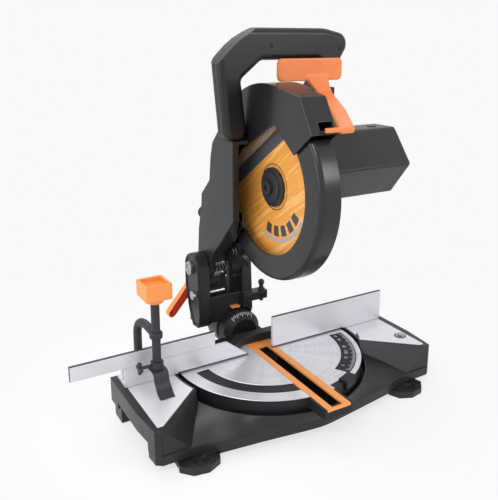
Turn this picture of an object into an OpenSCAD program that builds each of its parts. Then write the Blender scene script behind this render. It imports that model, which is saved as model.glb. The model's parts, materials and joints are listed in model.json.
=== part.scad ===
// Compound mitre saw: cast base, turning table, tilting arm, chopping saw head, sliding fence and clamp.
// Frame: origin on the mitre pivot axis, in the plane of the fence face, at bench level.
// +X is the operator's right, +Y the back, +Z up. Millimetres.

/* [Table] */
// Height of the table top above the bench
table_h = 50; // [48:1:54]
// Radius of the turning table
table_r = 121; // [118:0.5:123]
// Thickness of the turning table
table_t = 31; // [29:0.5:32]
// Running gap around the turning table
table_gap = 5; // [4:0.5:6]
// Half the width of the base over its painted rim
base_half = 197; // [192:1:205]
// Reach of the wings in front of the fence face
wing_front = 99; // [96:1:104]
// Reach of the base behind the fence face
base_back = 34; // [33:1:40]
// Reach of the table nose in front of the fence face
nose_reach = 152.5; // [151:0.5:158]
// Half the width of the table nose
nose_half = 19; // [18:0.5:22]
// Height of the front of the nose
nose_t = 12.5; // [10:0.5:16]
// Radius of the mitre pivot
pivot_r = 8; // [7:0.5:9]

/* [Base feet] */
// Distance of the bolt holes left and right of the centre
lug_x = 147; // [143:1:150]
// Distance of the front bolt holes in front of the fence face
lug_front = 106; // [102:1:110]
// Distance of the rear bolt holes behind the fence face
lug_back = 46; // [44:1:50]
// Radius of a bolt lug
lug_r = 17; // [15:0.5:19]
// Thickness of a bolt lug
lug_t = 8; // [7:0.5:10]
// Radius of a bolt hole
bolt_hole_r = 3.5; // [3:0.25:4.5]

/* [Kerf plate] */
// Width of the kerf plate
kerf_w = 31.6; // [30:0.2:34]
// Thickness of the kerf plate
kerf_t = 3; // [2:0.25:4]
// Width of the blade slot
slot_w = 15; // [13:0.2:16]
// Front end of the blade slot, in front of the fence face
slot_front = 149; // [148.5:0.5:150]
// Back end of the blade slot, behind the fence face
slot_back = 10.5; // [8:0.5:14]

/* [Fence] */
// Height of the fence above the table
fence_h = 43; // [40:0.5:46]
// Height of the fixed left fence above the table
low_fence_h = 24.4; // [22:0.2:27]
// Thickness of the fence plates
fence_t = 4; // [3:0.25:5]
// Left end of the right fence
fence_gap = 9; // [8:0.5:12]
// Outer end of the fixed fences
fence_end = 190; // [186:1:194]
// Length of the sliding fence
slide_len = 178; // [165:1:185]
// Outer end of the sliding fence as it is set
slide_end = 252; // [246:1:256]

/* [Blade] */
// Diameter of the saw blade
blade_d = 210; // [206:1:212]
// Thickness of the blade
blade_t = 1.8; // [1.4:0.1:2.2]
// Number of blade teeth
blade_teeth = 24; // [18:2:36]
// Radius of the clamping flanges
flange_r = 23.6; // [20:0.2:26]
// Radius of the arbor
arbor_r = 6; // [5:0.5:7]

/* [Saw head] */
// Arbor behind the fence face, with the head up
arbor_y = -16; // [-18:0.5:-14]
// Arbor above the bench, with the head up
arbor_z = 269; // [266:0.5:272]
// Outer radius of the upper guard
guard_r = 122; // [120:0.5:125]
// Outer radius of the lower guard
low_guard_r = 111; // [110:0.5:114]
// Radius of the window in the lower guard
window_r = 80.5; // [76:0.5:84]
// Left face of the upper guard
guard_left = -17; // [-19:0.5:-16]
// Right face of the upper guard
guard_right = 25; // [24:0.5:28]
// Right end of the motor
motor_end = 190; // [184:1:200]
// Half the height of the motor housing
motor_half_h = 43.5; // [42:0.5:48]
// Half the depth of the motor housing at its ridge
motor_half_d = 54; // [52:0.5:58]

/* [Hinge] */
// Hinge pin behind the fence face
hinge_y = 100; // [98:0.5:104]
// Hinge pin above the bench
hinge_z = 141; // [139:0.5:144]
// Radius of the hinge pin
pin_r = 6; // [5:0.5:7]
// Outer face of the left hinge ear
ear_out = 57; // [55:0.5:60]
// Inner face of the left hinge ear
ear_in = 40.3; // [40:0.1:42]
// Inner face of the right hinge ear
right_ear_in = 9; // [8:0.5:10]
// Outer face of the right hinge ear
right_ear_out = 24; // [22:0.5:24.5]
// Mean radius of the return spring
spring_r = 11; // [9.5:0.5:12]
// Wire diameter of the return spring
spring_wire = 3; // [2:0.25:3.25]
// Curls of the return spring
spring_curls = 5; // [3:1:5]

/* [Bevel pivot] */
// Radius of the bevel hub on the table
hub_r = 28; // [27:0.5:29]
// Front face of the bevel hub
hub_front = 66; // [65:0.5:68]
// Face where the arm meets the hub
hub_back = 82; // [81:0.5:83]
// Radius of the bevel bolt
bevel_bolt_r = 6; // [5:0.5:8]

/* [Handle] */
// Finger room between the top of the upper guard and the grip
grip_room = 24; // [20:1:30]
// Height of the grip bar
grip_bar = 38; // [34:1:40]
// Depth of the handle, front to back
handle_depth = 26; // [24:1:30]
// Middle plane of the handle behind the fence face
handle_y = 25; // [25:0.5:27]
// Left corner of the handle
handle_left = -58; // [-60:1:-56]
// Right end of the handle
handle_right = 126; // [122:1:130]

/* [Clamp] */
// Clamp post left or right of the centre
post_x = 166; // [164:1:168]
// Clamp post behind the fence face
post_y = 19; // [18:0.5:20]
// Radius of the clamp post
post_r = 5; // [4:0.25:5.5]
// Reach of the clamp arm to its screw
clamp_reach = 36; // [34:1:38]
// Height of the clamp arm above the table
clamp_arm_h = 58; // [54:1:62]
// Side of the square clamp knob
knob_w = 31; // [26:1:32]
// Height of the clamp knob
knob_h = 25; // [20:1:28]
// Radius of the clamp screw
screw_r = 5; // [4:0.25:5.5]

/* [Hidden] */
$fn = 64;

run_fit = 0.05;
seat_fit = 0.15;
swing_gap = 0.4;
black = [0.16, 0.16, 0.18];
dark = [0.22, 0.22, 0.24];
silver = [0.86, 0.86, 0.89];
steel = [0.7, 0.71, 0.74];
orange = [0.95, 0.55, 0.25];

// Table and base
pocket_r = table_r + table_gap;
table_bottom = table_h - table_t;
deck_top = table_bottom - 2;
floor_top = 12;
floor_bottom = 4;
floor_r = pocket_r + 8;
floor_back = 56;
rim_step = 6;
deck_edge = 21;
wing_bottom = deck_edge - 1;
rim_top = table_h - nose_t - 2.5;
rim_w = 2;
apron_run = 27;
corner_bottom = 10;
arch_top = 28;
arch_in = base_half - 28;
arch_front = 21 - wing_front;
bow_x = base_half - 47;
bow_steps = [[0, 16.5], [0.13, 16], [0.27, 13.8], [0.5, 9.3], [0.75, 5], [1, 0.8]];
wing_inner = [pocket_r - 9, -37];
pivot_top = table_h - 13;
cavity_back = -pivot_r - 6;
cavity_shallow = 8;
scale_in = table_r - 25.5;
scale_out = table_r - 6.5;
scale_t = 1.2;
latch_angle = -68;
latch_w = 20;
latch_in = table_r - 8;
latch_out = pocket_r - 0.7;
groove_in = table_r - 33.5;
groove_out = table_r - 17;

// Fence
fence_z = table_h + swing_gap;
fence_foot_in = pocket_r + 4;
fence_foot_t = 4;
fence_foot_back = 28;
fence_bolt_x = [fence_foot_in + 10, fence_end - 8];
fence_bolt_y = 16;
bridge_t = 11;
bridge_back = fence_t + 7;
bridge_in = 24;
low_end_bottom = -26;
low_end_top = -57;
slide_tongue_t = 3.6;
slide_lock_x = -150;
tongue_z = fence_z + bridge_t + 1.6;
slide_lock_z = tongue_z + 7.5;

// Head positions along X
guard_wall = 2.5;
low_guard_half = 13;
arm_left = -ear_in + 0.5;
arm_left_in = guard_left - 1.5;
web_in = guard_right;
web_out = web_in + 7.8;
case_out = web_out + 33;
motor_in = case_out;
cap_in = motor_end - 12;

// Gears: module, teeth, pressure angle
gear_module = 1.2;
gear_teeth = 36;
pinion_teeth = 12;
gear_press = 25;
gear_distance = gear_module * (gear_teeth + pinion_teeth) / 2;
gear_lean = 37;
gear_x0 = web_out + 6;
gear_x1 = gear_x0 + 10;
motor_y = arbor_y + gear_distance * cos(gear_lean);
motor_z = arbor_z + gear_distance * sin(gear_lean);

collar_r = 32;
collar_in = low_guard_half - 3;
bearing_r = 13;
bearing_w = 9;
motor_bearing_r = 10;
chop_max = 53;

// Handle outline
grip_half = handle_depth / 2;
grip_top = arbor_z + guard_r + grip_room + grip_bar;
grip_z = grip_top - grip_bar / 2;
seat_z = arbor_z + 53;
post_foot_z = motor_z + 38;

module x_rod(r, x0, x1, y, z) {
  translate([x0, y, z]) rotate([0, 90, 0]) cylinder(r = r, h = x1 - x0);
}
module y_rod(r, y0, y1, x, z) {
  translate([x, y1, z]) rotate([90, 0, 0]) cylinder(r = r, h = y1 - y0);
}
module z_rod(r, z0, z1, x = 0, y = 0) {
  translate([x, y, z0]) cylinder(r = r, h = z1 - z0);
}
module box(lo, hi) {
  translate(lo) cube(hi - lo);
}
// An outline of [y, z] points, extruded along X
module side_plate(x0, x1, points) {
  translate([x0, 0, 0]) rotate([90, 0, 90]) linear_extrude(x1 - x0) polygon(points);
}
// An outline of [x, z] points, extruded along Y
module front_plate(y0, y1, points) {
  translate([0, y1, 0]) rotate([90, 0, 0]) linear_extrude(y1 - y0) polygon(points);
}
// An outline of [x, y] points, extruded along Z
module flat_plate(z0, z1, points) {
  translate([0, 0, z0]) linear_extrude(z1 - z0) polygon(points);
}
module both_sides() {
  children();
  mirror([1, 0, 0]) children();
}
// A ring sector about Z, from one polar angle to another
module ring_sector(r0, r1, z0, z1, a0, a1) {
  translate([0, 0, z0]) rotate([0, 0, a0]) rotate_extrude(angle = a1 - a0)
    translate([r0, 0]) square([r1 - r0, z1 - z0]);
}
function polar(r, a) = [r * cos(a), r * sin(a)];
// Points of an arc about the arbor, angles from +Y towards +Z
function arbor_arc(r, a0, a1, steps) =
  [for (i = [0:steps]) [arbor_y, arbor_z] + polar(r, a0 + (a1 - a0) * i / steps)];

// Base casting with wings, floor, front deck, bolt lugs, rear legs and clamp sockets
module wing_block() {
  flat_plate(wing_bottom, table_h, [[wing_inner[0] - 40, base_back], [base_half, base_back],
    [base_half, -wing_front + 45], [base_half - 4, -wing_front + 4], [base_half - 10, -wing_front],
    wing_inner, [wing_inner[0] - 40, wing_inner[1]]]);
}
// Front edge of the deck, bowed out at the middle
function bow_point(i, s) = [s * bow_x * bow_steps[i][0], -wing_front - bow_steps[i][1]];
deck_plan = concat([[-bow_x, -40]], [for (i = [5:-1:1]) bow_point(i, -1)], [for (i = [0:5]) bow_point(i, 1)], [[bow_x, -40]]);
module front_lug() {
  translate([lug_x, -lug_front, 0]) linear_extrude(lug_t) polygon([[-26, 6], [-20, -8], [-4, -15], [13, -12], [24, 0],
    [21, 12], [3, 16], [-22, 14]]);
}
module base_casting() {
  leg = 24;
  color(black) difference() {
    union() {
      both_sides() {
        wing_block();
        front_lug();
        box([lug_x - lug_r, -wing_front + 2, 0], [arch_in, -wing_front + 39, wing_bottom + 1]);
        flat_plate(corner_bottom, wing_bottom + 1, [[bow_x - 1, arch_front], [bow_x - 1, -wing_front - 0.8],
          [base_half - 10, -wing_front], [base_half - 4, -wing_front + 4], [base_half - 2.9, arch_front]]);
        z_rod(lug_r, 0, lug_t, lug_x, lug_back);
        box([lug_x - lug_r, base_back - leg, 0], [lug_x + lug_r, lug_back, lug_t]);
        box([base_half - 2 * leg, base_back - leg, 0], [base_half - 4, base_back, wing_bottom + 1]);
        box([lug_x - lug_r, base_back - leg, 0], [base_half - leg, base_back, wing_bottom + 1]);
        box([pocket_r - 30, -28, floor_bottom], [base_half - 30, 22, wing_bottom + 1]);
      }
      intersection() {
        z_rod(floor_r, floor_bottom, floor_top);
        box([-floor_r, -lug_front, 0], [floor_r, floor_back, floor_top]);
      }
      flat_plate(floor_bottom, deck_edge, deck_plan);
      // Sloped apron from the front edge up to the rim round the table
      intersection() {
        translate([0, 0, deck_edge - 1]) cylinder(r1 = pocket_r + rim_w + apron_run, r2 = pocket_r + rim_w, h = rim_top - deck_edge + 1);
        flat_plate(floor_bottom, rim_top + 1, deck_plan);
      }
    }
    z_rod(pocket_r, deck_top, table_h + 1);
    z_rod(pocket_r - 22, floor_top, table_h);
    z_rod(pivot_r, 0, table_h);
    both_sides() {
      box([arch_in, arch_front, -1], [base_half + 1, base_back - leg, arch_top]);
      z_rod(bolt_hole_r, -1, table_h, lug_x, lug_back);
      z_rod(bolt_hole_r, -1, wing_bottom, lug_x, -lug_front);
      z_rod(post_r + run_fit, floor_bottom + 8, table_h + 1, post_x, post_y);
      z_rod(8, lug_t - 2, deck_edge + 1, lug_x, -lug_front - 1);
      for (x = fence_bolt_x) z_rod(2.5, wing_bottom + 6, table_h + 1, x, fence_bolt_y);
    }
  }
}
module mitre_pivot() {
  color(steel) {
    z_rod(pivot_r, floor_bottom - 2, pivot_top);
    z_rod(pivot_r + 5, floor_bottom - 4, floor_bottom);
  }
}

// Fences
module fence_foot(x0, x1) {
  difference() {
    box([x0, fence_t - 1, table_h], [x1, fence_foot_back, table_h + fence_foot_t]);
    for (s = [-1, 1]) {
      z_rod(post_r + 2, table_h - 1, table_h + 9, s * post_x, post_y);
      for (x = fence_bolt_x) z_rod(3.2, table_h - 1, table_h + 9, s * x, fence_bolt_y);
    }
  }
}
module fence_left() {
  color(silver) union() {
    front_plate(0, fence_t, [[-fence_end, fence_z], [low_end_bottom, fence_z],
      [low_end_top, table_h + low_fence_h], [-fence_end, table_h + low_fence_h]]);
    fence_foot(-fence_end, -fence_foot_in);
  }
}
module fence_right() {
  color(silver) union() {
    front_plate(0, fence_t, [[fence_gap, fence_z], [fence_end, fence_z], [fence_end, table_h + fence_h],
      [fence_gap, table_h + fence_h]]);
    fence_foot(fence_foot_in, fence_end);
  }
}
module fence_bridge() {
  color(black) flat_plate(fence_z + 0.2, fence_z + bridge_t, [[-fence_foot_in, fence_t], [-52, fence_t], [-20, bridge_in],
    [20, bridge_in], [52, fence_t], [fence_foot_in, fence_t], [fence_foot_in, bridge_back], [58, bridge_back],
    [24, bridge_in + 12], [-24, bridge_in + 12], [-58, bridge_back], [-fence_foot_in, bridge_back]]);
}
module fence_bolts() {
  color(steel) for (s = [-1, 1]) for (x = fence_bolt_x) {
    z_rod(2.5, table_h - 10, table_h + fence_foot_t, s * x, fence_bolt_y);
    z_rod(5, table_h + fence_foot_t, table_h + fence_foot_t + 4, s * x, fence_bolt_y);
  }
}
module sliding_fence() {
  slide_in = slide_len - slide_end;
  bottom = table_h + low_fence_h + 0.3;
  tongue_y = fence_t + 0.3;
  color(silver) difference() {
    union() {
      box([-slide_end, 0, bottom], [slide_in, fence_t, table_h + fence_h]);
      box([-slide_end + 60, fence_t, bottom + 1], [slide_in - 30, tongue_y + slide_tongue_t, table_h + fence_h - 4]);
      box([-slide_end + 60, tongue_y, tongue_z], [slide_in - 30, tongue_y + slide_tongue_t, bottom + 2]);
    }
    y_rod(2.5, fence_t, tongue_y + 9, slide_lock_x, slide_lock_z);
  }
}
module fence_lock_screw() {
  back = fence_t + 0.3 + slide_tongue_t;
  color(black) {
    y_rod(2.5, fence_t + 0.4, back, slide_lock_x, slide_lock_z);
    y_rod(7, back, back + 5, slide_lock_x, slide_lock_z);
  }
}

// Clamp: post and arm, spring shoe, screw and square knob
arm_z = table_h + clamp_arm_h;
clamp_skew = 9;
clamp_x = -post_x + clamp_skew;
screw_y = post_y - clamp_reach;
arm_turn = atan2(clamp_skew, clamp_reach);
shoe_top = table_h + 26;
shoe_turn = 2;
knob_z = arm_z + 48;
module clamp_arm() {
  bend = 12;
  color(black) difference() {
    union() {
      translate([-post_x, post_y, 0]) rotate([0, 0, arm_turn]) {
        z_rod(post_r, floor_bottom + 10, arm_z);
        translate([0, -bend, arm_z]) rotate([90, 0, 90]) rotate_extrude(angle = 90) translate([bend, 0]) circle(r = post_r);
        y_rod(post_r, -norm([clamp_skew, clamp_reach]), -bend, 0, arm_z + bend);
      }
      z_rod(screw_r + 3.5, arm_z + bend - 8, arm_z + bend + 6, clamp_x, screw_y);
    }
    z_rod(screw_r + run_fit, arm_z - 9, arm_z + bend + 30, clamp_x, screw_y);
  }
}
// Shoe: a spring strip bent down from the screw end, with a flared foot
module clamp_shoe() {
  half = 9;
  low = table_h + 0.3 - shoe_top;
  color(dark) translate([clamp_x, screw_y, shoe_top]) rotate([0, 0, shoe_turn]) {
    side_plate(-half, half, [[9, 0], [-6, 0], [-10, -2], [-12, -6], [-13, -12], [-16, -18], [-21, -23], [-28, low],
      [-24, low], [-18.6, -21], [-13.8, -16.2], [-10.6, -11], [-9.6, -6], [-8, -3.5], [-6, -2.4], [9, -2.4]]);
    z_rod(screw_r + 2.5, 0, 8);
  }
}
module shoe_screw() {
  color(black) {
    x_rod(2, clamp_x - 19, clamp_x - screw_r - 2.5, screw_y, shoe_top + 4);
    for (a = [0, 90]) translate([clamp_x - 23, screw_y, shoe_top + 4]) rotate([a, 0, 0])
      box([0, -7, -2], [4, 7, 2]);
  }
}
module clamp_screw() {
  color(steel) z_rod(screw_r, shoe_top + 8, knob_z + 10, clamp_x, screw_y);
}
module clamp_knob() {
  wall = 3.5;
  color(orange) translate([clamp_x, screw_y, 0]) difference() {
    union() {
      box([-knob_w / 2, -knob_w / 2, knob_z + 6], [knob_w / 2, knob_w / 2, knob_z + knob_h]);
      z_rod(screw_r + 5, knob_z, knob_z + 6);
    }
    box([-knob_w / 2 + wall, -knob_w / 2 + wall, knob_z + knob_h - 6],
      [knob_w / 2 - wall, knob_w / 2 - wall, knob_z + knob_h + 1]);
    z_rod(screw_r, knob_z - 1, knob_z + 10);
  }
}

// Turning table with nose, blade cavity and bevel hub
module turntable() {
  color(silver) difference() {
    union() {
      intersection() {
        z_rod(table_r, table_bottom, table_h);
        box([-table_r, -table_r, 0], [table_r, 58, table_h]);
      }
      box([-nose_half, -nose_reach, table_h - nose_t], [nose_half, -table_r + 10, table_h]);
      box([-nose_half, -table_r - 8, rim_top + 1.5], [nose_half, -table_r + 12, table_h]);
      y_rod(hub_r, hub_front, hub_back, 0, table_h);
      translate([0, hub_front, table_h]) rotate([90, 0, 0]) cylinder(r1 = hub_r, r2 = hub_r - 9, h = 8);
      box([-hub_r, 40, table_bottom + 4], [hub_r, hub_back, table_h]);
    }
    box([-kerf_w / 2 - seat_fit, -nose_reach - 1, table_h - kerf_t], [kerf_w / 2 + seat_fit, 27, table_h + 1]);
    front_plate(-slot_front - 1, cavity_back, [[-8, table_h - kerf_t + 0.1], [8, table_h - kerf_t + 0.1],
      [25, table_h - 18], [25, table_bottom - 1], [-8, table_bottom - 1]]);
    box([-8, cavity_back - 1, table_h - kerf_t - cavity_shallow], [8, slot_back + 2, table_h]);
    z_rod(pivot_r + run_fit, table_bottom - 1, pivot_top + 1);
    ring_sector(scale_in, scale_out, table_h - scale_t, table_h + 1, -61, -4);
    ring_sector(groove_in, groove_out, table_h - scale_t, table_h + 1, 184, 262);
    ring_sector(latch_in - 0.4, table_r + 1, table_h - 11, table_h + 1, latch_angle - 5.3, latch_angle + 5.3);
    y_rod(bevel_bolt_r, hub_front + 3, hub_back + 1, 0, bevel_z);
    for (y = kerf_screw_y) z_rod(1.5, table_h - 12, table_h, kerf_screw_x, y);
  }
}
kerf_screw_x = -kerf_w / 2 + 3.6;
kerf_screw_y = [20, -nose_reach + 45];
module kerf_plate() {
  color(orange) difference() {
    box([-kerf_w / 2, -nose_reach, table_h - kerf_t], [kerf_w / 2, 26.5, table_h]);
    box([-slot_w / 2, -slot_front, table_h - kerf_t - 1], [slot_w / 2, slot_back, table_h + 1]);
    for (y = kerf_screw_y) {
      z_rod(1.7, table_h - kerf_t - 1, table_h + 1, kerf_screw_x, y);
      z_rod(3, table_h - 1.5, table_h + 1, kerf_screw_x, y);
    }
  }
}
module kerf_screws() {
  color(steel) for (y = kerf_screw_y) {
    z_rod(1.5, table_h - 11, table_h - 1.5, kerf_screw_x, y);
    z_rod(2.8, table_h - 1.5, table_h - 0.2, kerf_screw_x, y);
  }
}
module mitre_scale() {
  color(black) ring_sector(scale_in + seat_fit, scale_out - seat_fit, table_h - scale_t, table_h, -60.9, -4.1);
}
module mitre_latch() {
  color(black) intersection() {
    ring_sector(latch_in, latch_out, table_h - 8, table_h + 4, latch_angle - 5, latch_angle + 5);
    box([0, -table_r * 2, 0], [table_r, 0, table_h + 3]);
  }
}
module bevel_bolt() {
  color(steel) y_rod(bevel_bolt_r, hub_front + 3, yoke_back + 22, 0, bevel_z);
}

// Tilting yoke with two ears
yoke_front = hub_back + 0.3;
yoke_back = hub_back + 30;
web_top = hinge_z - 41;
bevel_z = table_h;
ear_r = 20;
module ear_outline() {
  translate([hinge_y, hinge_z]) circle(r = ear_r);
  polygon([[hinge_y - ear_r, hinge_z], [hinge_y - 24, hinge_z - 66], [hinge_y - 17, hinge_z - 82],
    [hinge_y - 2, hinge_z - 83], [hinge_y + 10, hinge_z - 62], [hinge_y + ear_r, hinge_z - 30], [hinge_y + ear_r, hinge_z]]);
}
module bevel_yoke() {
  color(black) difference() {
    union() {
      y_rod(hub_r + 2, hub_back + 0.3, yoke_back, 0, bevel_z);
      translate([-ear_out, 0, 0]) rotate([90, 0, 90]) linear_extrude(ear_out - ear_in) ear_outline();
      translate([right_ear_in, 0, 0]) rotate([90, 0, 90]) linear_extrude(right_ear_out - right_ear_in) ear_outline();
      box([-ear_out, yoke_front, table_h + 12], [right_ear_out, yoke_back - 2, web_top]);
      box([-ear_out, hinge_y - 3, web_top - 1], [right_ear_out, yoke_back - 2, hinge_z - lug_out - 5]);
      box([spring_x0, hinge_y - 3, web_top - 1], [spring_end, yoke_back - 2, hinge_z - spring_r - spring_wire - 3]);
      box([right_ear_in, yoke_front - 10, web_top - 14], [stop_x + 7, yoke_front + 6, web_top - 2]);
    }
    y_rod(hub_r + 1.2, hub_front - 5, yoke_front, 0, bevel_z);
    x_rod(pin_r, -ear_out - 1, right_ear_out + 1, hinge_y, hinge_z);
    y_rod(bevel_bolt_r + run_fit, hub_back, yoke_back + 1, 0, bevel_z);
    z_rod(3, web_top - 20, web_top, stop_x, yoke_front - 4);
    x_rod(lock_r + run_fit, -ear_out - 1, -ear_in + 1, lock_y, lock_z);
  }
}
stop_x = 39;
module stop_screw() {
  color(black) {
    z_rod(3, web_top - 18, web_top + 6, stop_x, yoke_front - 4);
    z_rod(4.5, web_top - 2, web_top + 1, stop_x, yoke_front - 4);
    translate([stop_x, yoke_front - 4, web_top + 9]) sphere(r = 4.5);
  }
}
lock_r = 3.5;
lock_y = hinge_y - 14;
lock_z = hinge_z - 34;
module lock_pin() {
  color(steel) {
    x_rod(lock_r, -ear_out - 4, -ear_in + 24, lock_y, lock_z);
    x_rod(lock_r + 2.5, -ear_out - 8, -ear_out - 4, lock_y, lock_z);
  }
}
module bevel_pointer() {
  color(orange) box([-9, hub_back - 7, bevel_z + hub_r + 2.3], [3, yoke_front, bevel_z + hub_r + 4.5]);
}
module bevel_lever() {
  lever_y = yoke_back + 0.3;
  color(orange) difference() {
    union() {
      y_rod(13, lever_y, lever_y + 17, 0, bevel_z);
      hull() {
        y_rod(8, lever_y + 9, lever_y + 17, -4, bevel_z + 6, $fn = 24);
        y_rod(6, lever_y + 9, lever_y + 17, -50, bevel_z + 54, $fn = 24);
      }
      hull() {
        y_rod(6, lever_y + 9, lever_y + 18, -50, bevel_z + 54, $fn = 24);
        y_rod(5, lever_y + 8, lever_y + 20, -79, bevel_z + 20, $fn = 24);
      }
    }
    y_rod(bevel_bolt_r + run_fit, lever_y - 1, lever_y + 25, 0, bevel_z);
  }
}
module hinge_pin() {
  color(steel) x_rod(pin_r, -ear_out - 5, right_ear_out + 5, hinge_y, hinge_z);
}
module hinge_nuts() {
  color(steel) for (x = [-ear_out - 6, right_ear_out]) difference() {
    translate([x, hinge_y, hinge_z]) rotate([0, 90, 0]) cylinder(r = pin_r + 4, h = 6, $fn = 6);
    x_rod(pin_r, x - 1, x + 7, hinge_y, hinge_z);
  }
}

// Torsion return spring: one unbroken wire with straight ends
spring_x0 = -32;
spring_pitch = 4.4;
spring_end = spring_x0 + spring_pitch * spring_curls + spring_wire;
spring_rings = 8;
spring_sides = 6;
spring_steps = spring_curls * spring_rings;
lug_cut_r = spring_r + spring_wire + 12;
spring_leg = sqrt(pow(lug_cut_r, 2) - pow(spring_r, 2)) - 2;
function spring_point(i) = let (a = 180 + 360 * i / spring_rings)
  [spring_x0 + spring_wire / 2 + spring_pitch * i / spring_rings, hinge_y + spring_r * cos(a), hinge_z + spring_r * sin(a)];
function unit(v) = v / norm(v);
spring_turns = [for (i = [0:spring_steps]) spring_point(i)];
spring_start = spring_turns[0] + spring_leg * [0, 0, 1];
spring_finish = [spring_turns[spring_steps][0], spring_turns[spring_steps][1], web_top];
spring_path = concat([spring_start], spring_turns, [spring_finish]);
spring_count = len(spring_path);
function path_heading(i) = unit(spring_path[min(i + 1, spring_count - 1)] - spring_path[max(i - 1, 0)]);
function spring_ring(i) = let (t = path_heading(i), u = unit(cross(t, cross([1, 0, 0], t))), w = cross(t, u))
  [for (k = [0:spring_sides - 1]) spring_path[i] + spring_wire / 2 * (cos(360 * k / spring_sides) * u + sin(360 * k / spring_sides) * w)];
spring_verts = [for (i = [0:spring_count - 1]) each spring_ring(i)];
spring_walls = [for (i = [0:spring_count - 2]) for (k = [0:spring_sides - 1])
  let (a = i * spring_sides + k, b = i * spring_sides + (k + 1) % spring_sides, c = a + spring_sides, d = b + spring_sides)
  each [[a, b, d], [a, d, c]]];
spring_caps = [for (k = [1:spring_sides - 2]) each [[0, k + 1, k],
  [(spring_count - 1) * spring_sides, (spring_count - 1) * spring_sides + k, (spring_count - 1) * spring_sides + k + 1]]];
spring_gap = min([for (i = [0:spring_steps - spring_rings]) for (j = [i + spring_rings - 2:spring_steps])
  norm(spring_turns[i] - spring_turns[j]) - spring_wire]);
module return_spring() {
  echo(least_spring_gap = spring_gap);
  color(steel) polyhedron(points = spring_verts, faces = concat(spring_walls, spring_caps));
}

// Saw head: arm casting with hinge lugs, left cheek and right web
lug_out = 20;
lug_right = right_ear_in - 0.5;
module arm_cheek() {
  side_plate(arm_left, arm_left_in, [[arbor_y + 31, seat_z], [arbor_y + 31, arbor_z - 46], [hinge_y - 56, hinge_z + 51],
    [hinge_y - 28, hinge_z + 24], [hinge_y - lug_out, hinge_z], [hinge_y + lug_out - 2, hinge_z], [hinge_y + 13, hinge_z + 50],
    [hinge_y + 3.5, hinge_z + 87], [hinge_y + 3, hinge_z + 100], [hinge_y - 21, hinge_z + 123], [hinge_y - 25, hinge_z + 153],
    [hinge_y - 31, hinge_z + 173], [handle_y + grip_half + 8, seat_z + 16], [handle_y + grip_half + 0.3, seat_z + 16],
    [handle_y + grip_half + 0.3, seat_z]]);
}
module arm_web() {
  side_plate(web_in, web_out, [[hinge_y + 14, hinge_z + 30], [hinge_y + 10, hinge_z + 60], [hinge_y - 15, hinge_z + 110],
    [motor_y + 40, motor_z + 20], [motor_y + 12, motor_z + 42], [motor_y - 30, motor_z + 30], [arbor_y - 32, arbor_z + 14],
    [arbor_y - 33, arbor_z - 14], [arbor_y - 12, arbor_z - 34], [hinge_y - 62, hinge_z + 70], [hinge_y - 32, hinge_z + 34],
    [hinge_y - 20, hinge_z + 26]]);
}
module head_arm() {
  lug_gap = [spring_x0 - 0.5, spring_end + 1];
  color(black) difference() {
    union() {
      arm_cheek();
      arm_web();
      difference() {
        union() {
          side_plate(arm_left, lug_right, [[hinge_y - 14, hinge_z], [hinge_y - 22, hinge_z + 30], [hinge_y - 40, hinge_z + 58],
            [hinge_y + 9, hinge_z + 66], [hinge_y + 17, hinge_z]]);
          side_plate(arm_left, web_out, [[hinge_y - 20, hinge_z + 26], [hinge_y - 40, hinge_z + 58], [hinge_y + 9, hinge_z + 66],
            [hinge_y + 14, hinge_z + 30]]);
        }
        x_rod(guard_r + 1.5, arm_left_in, web_in, arbor_y, arbor_z);
      }
      x_rod(lug_out, arm_left, lug_right, hinge_y, hinge_z);
      x_rod(collar_r, collar_in, web_in + 1, arbor_y, arbor_z);
    }
    flat_plate(arbor_z - 70, seat_z - 5, [[arm_left + 8, arbor_y + 30], [arm_left_in + 1, arbor_y + 30], [arm_left_in + 1, arbor_y + 62]]);
    x_rod(lug_cut_r, lug_gap[0], lug_gap[1], hinge_y, hinge_z);
    x_rod(pin_r + run_fit, arm_left - 1, lug_right + 1, hinge_y, hinge_z);
    x_rod(bearing_r, web_out - bearing_w, web_out + 1, arbor_y, arbor_z);
    x_rod(arbor_r + 5, collar_in - 1, web_out, arbor_y, arbor_z);
    x_rod(12, web_in - 1, web_out + 1, motor_y, motor_z);
    y_rod(gland_r, hinge_y - 20, hinge_y + 40, gland_x, gland_z);
  }
}

// Upper guard: crown, notched left face, right wall
crown = [arbor_y - 73, arbor_z + 112];
brow = [arbor_y - 96, arbor_z + 74];
guard_back_angle = -50;
module guard_outline(r) {
  polygon(concat(arbor_arc(r, guard_back_angle, 100, 50), [crown, brow, [arbor_y, arbor_z]]));
}
module upper_guard() {
  inner_l = guard_left + guard_wall;
  inner_r = low_guard_half + 1.5;
  color(black) difference() {
    translate([guard_left, 0, 0]) rotate([90, 0, 90]) linear_extrude(guard_right - guard_left) guard_outline(guard_r);
    x_rod(guard_r - guard_wall, inner_l, inner_r, arbor_y, arbor_z);
    // Opening in the left face: a slanted edge, and a fin that points down
    side_plate(guard_left - 1, inner_l + 1, concat([[arbor_y - 65, arbor_z + 47], [arbor_y - 22.7, arbor_z + 78],
      [arbor_y + 51.5, arbor_z + 38], [arbor_y + 77, arbor_z + 8]], arbor_arc(78, 0, -70, 20),
      [[arbor_y, arbor_z - 140], [arbor_y - 150, arbor_z - 140], [arbor_y - 150, brow[1]], brow]));
    x_rod(collar_r + 0.3, inner_r - 1, guard_right + 1, arbor_y, arbor_z);
    x_rod(15, inner_r - 1, guard_right + 1, motor_y + 6, motor_z + 3);
    // The front is narrower on the right, beside the release lever
    box([guard_front_right, brow[0] - 20, arbor_z - 200], [guard_right + 1, arbor_y - 42, arbor_z + 200]);
    // Slot in the brow for the release hook
    box([hook_x0 - 1, brow[0] - 8, brow[1] + 4], [hook_x1 + 1, brow[0] + 22, brow[1] + 12]);
  }
}
hook_x0 = -3;
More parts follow.
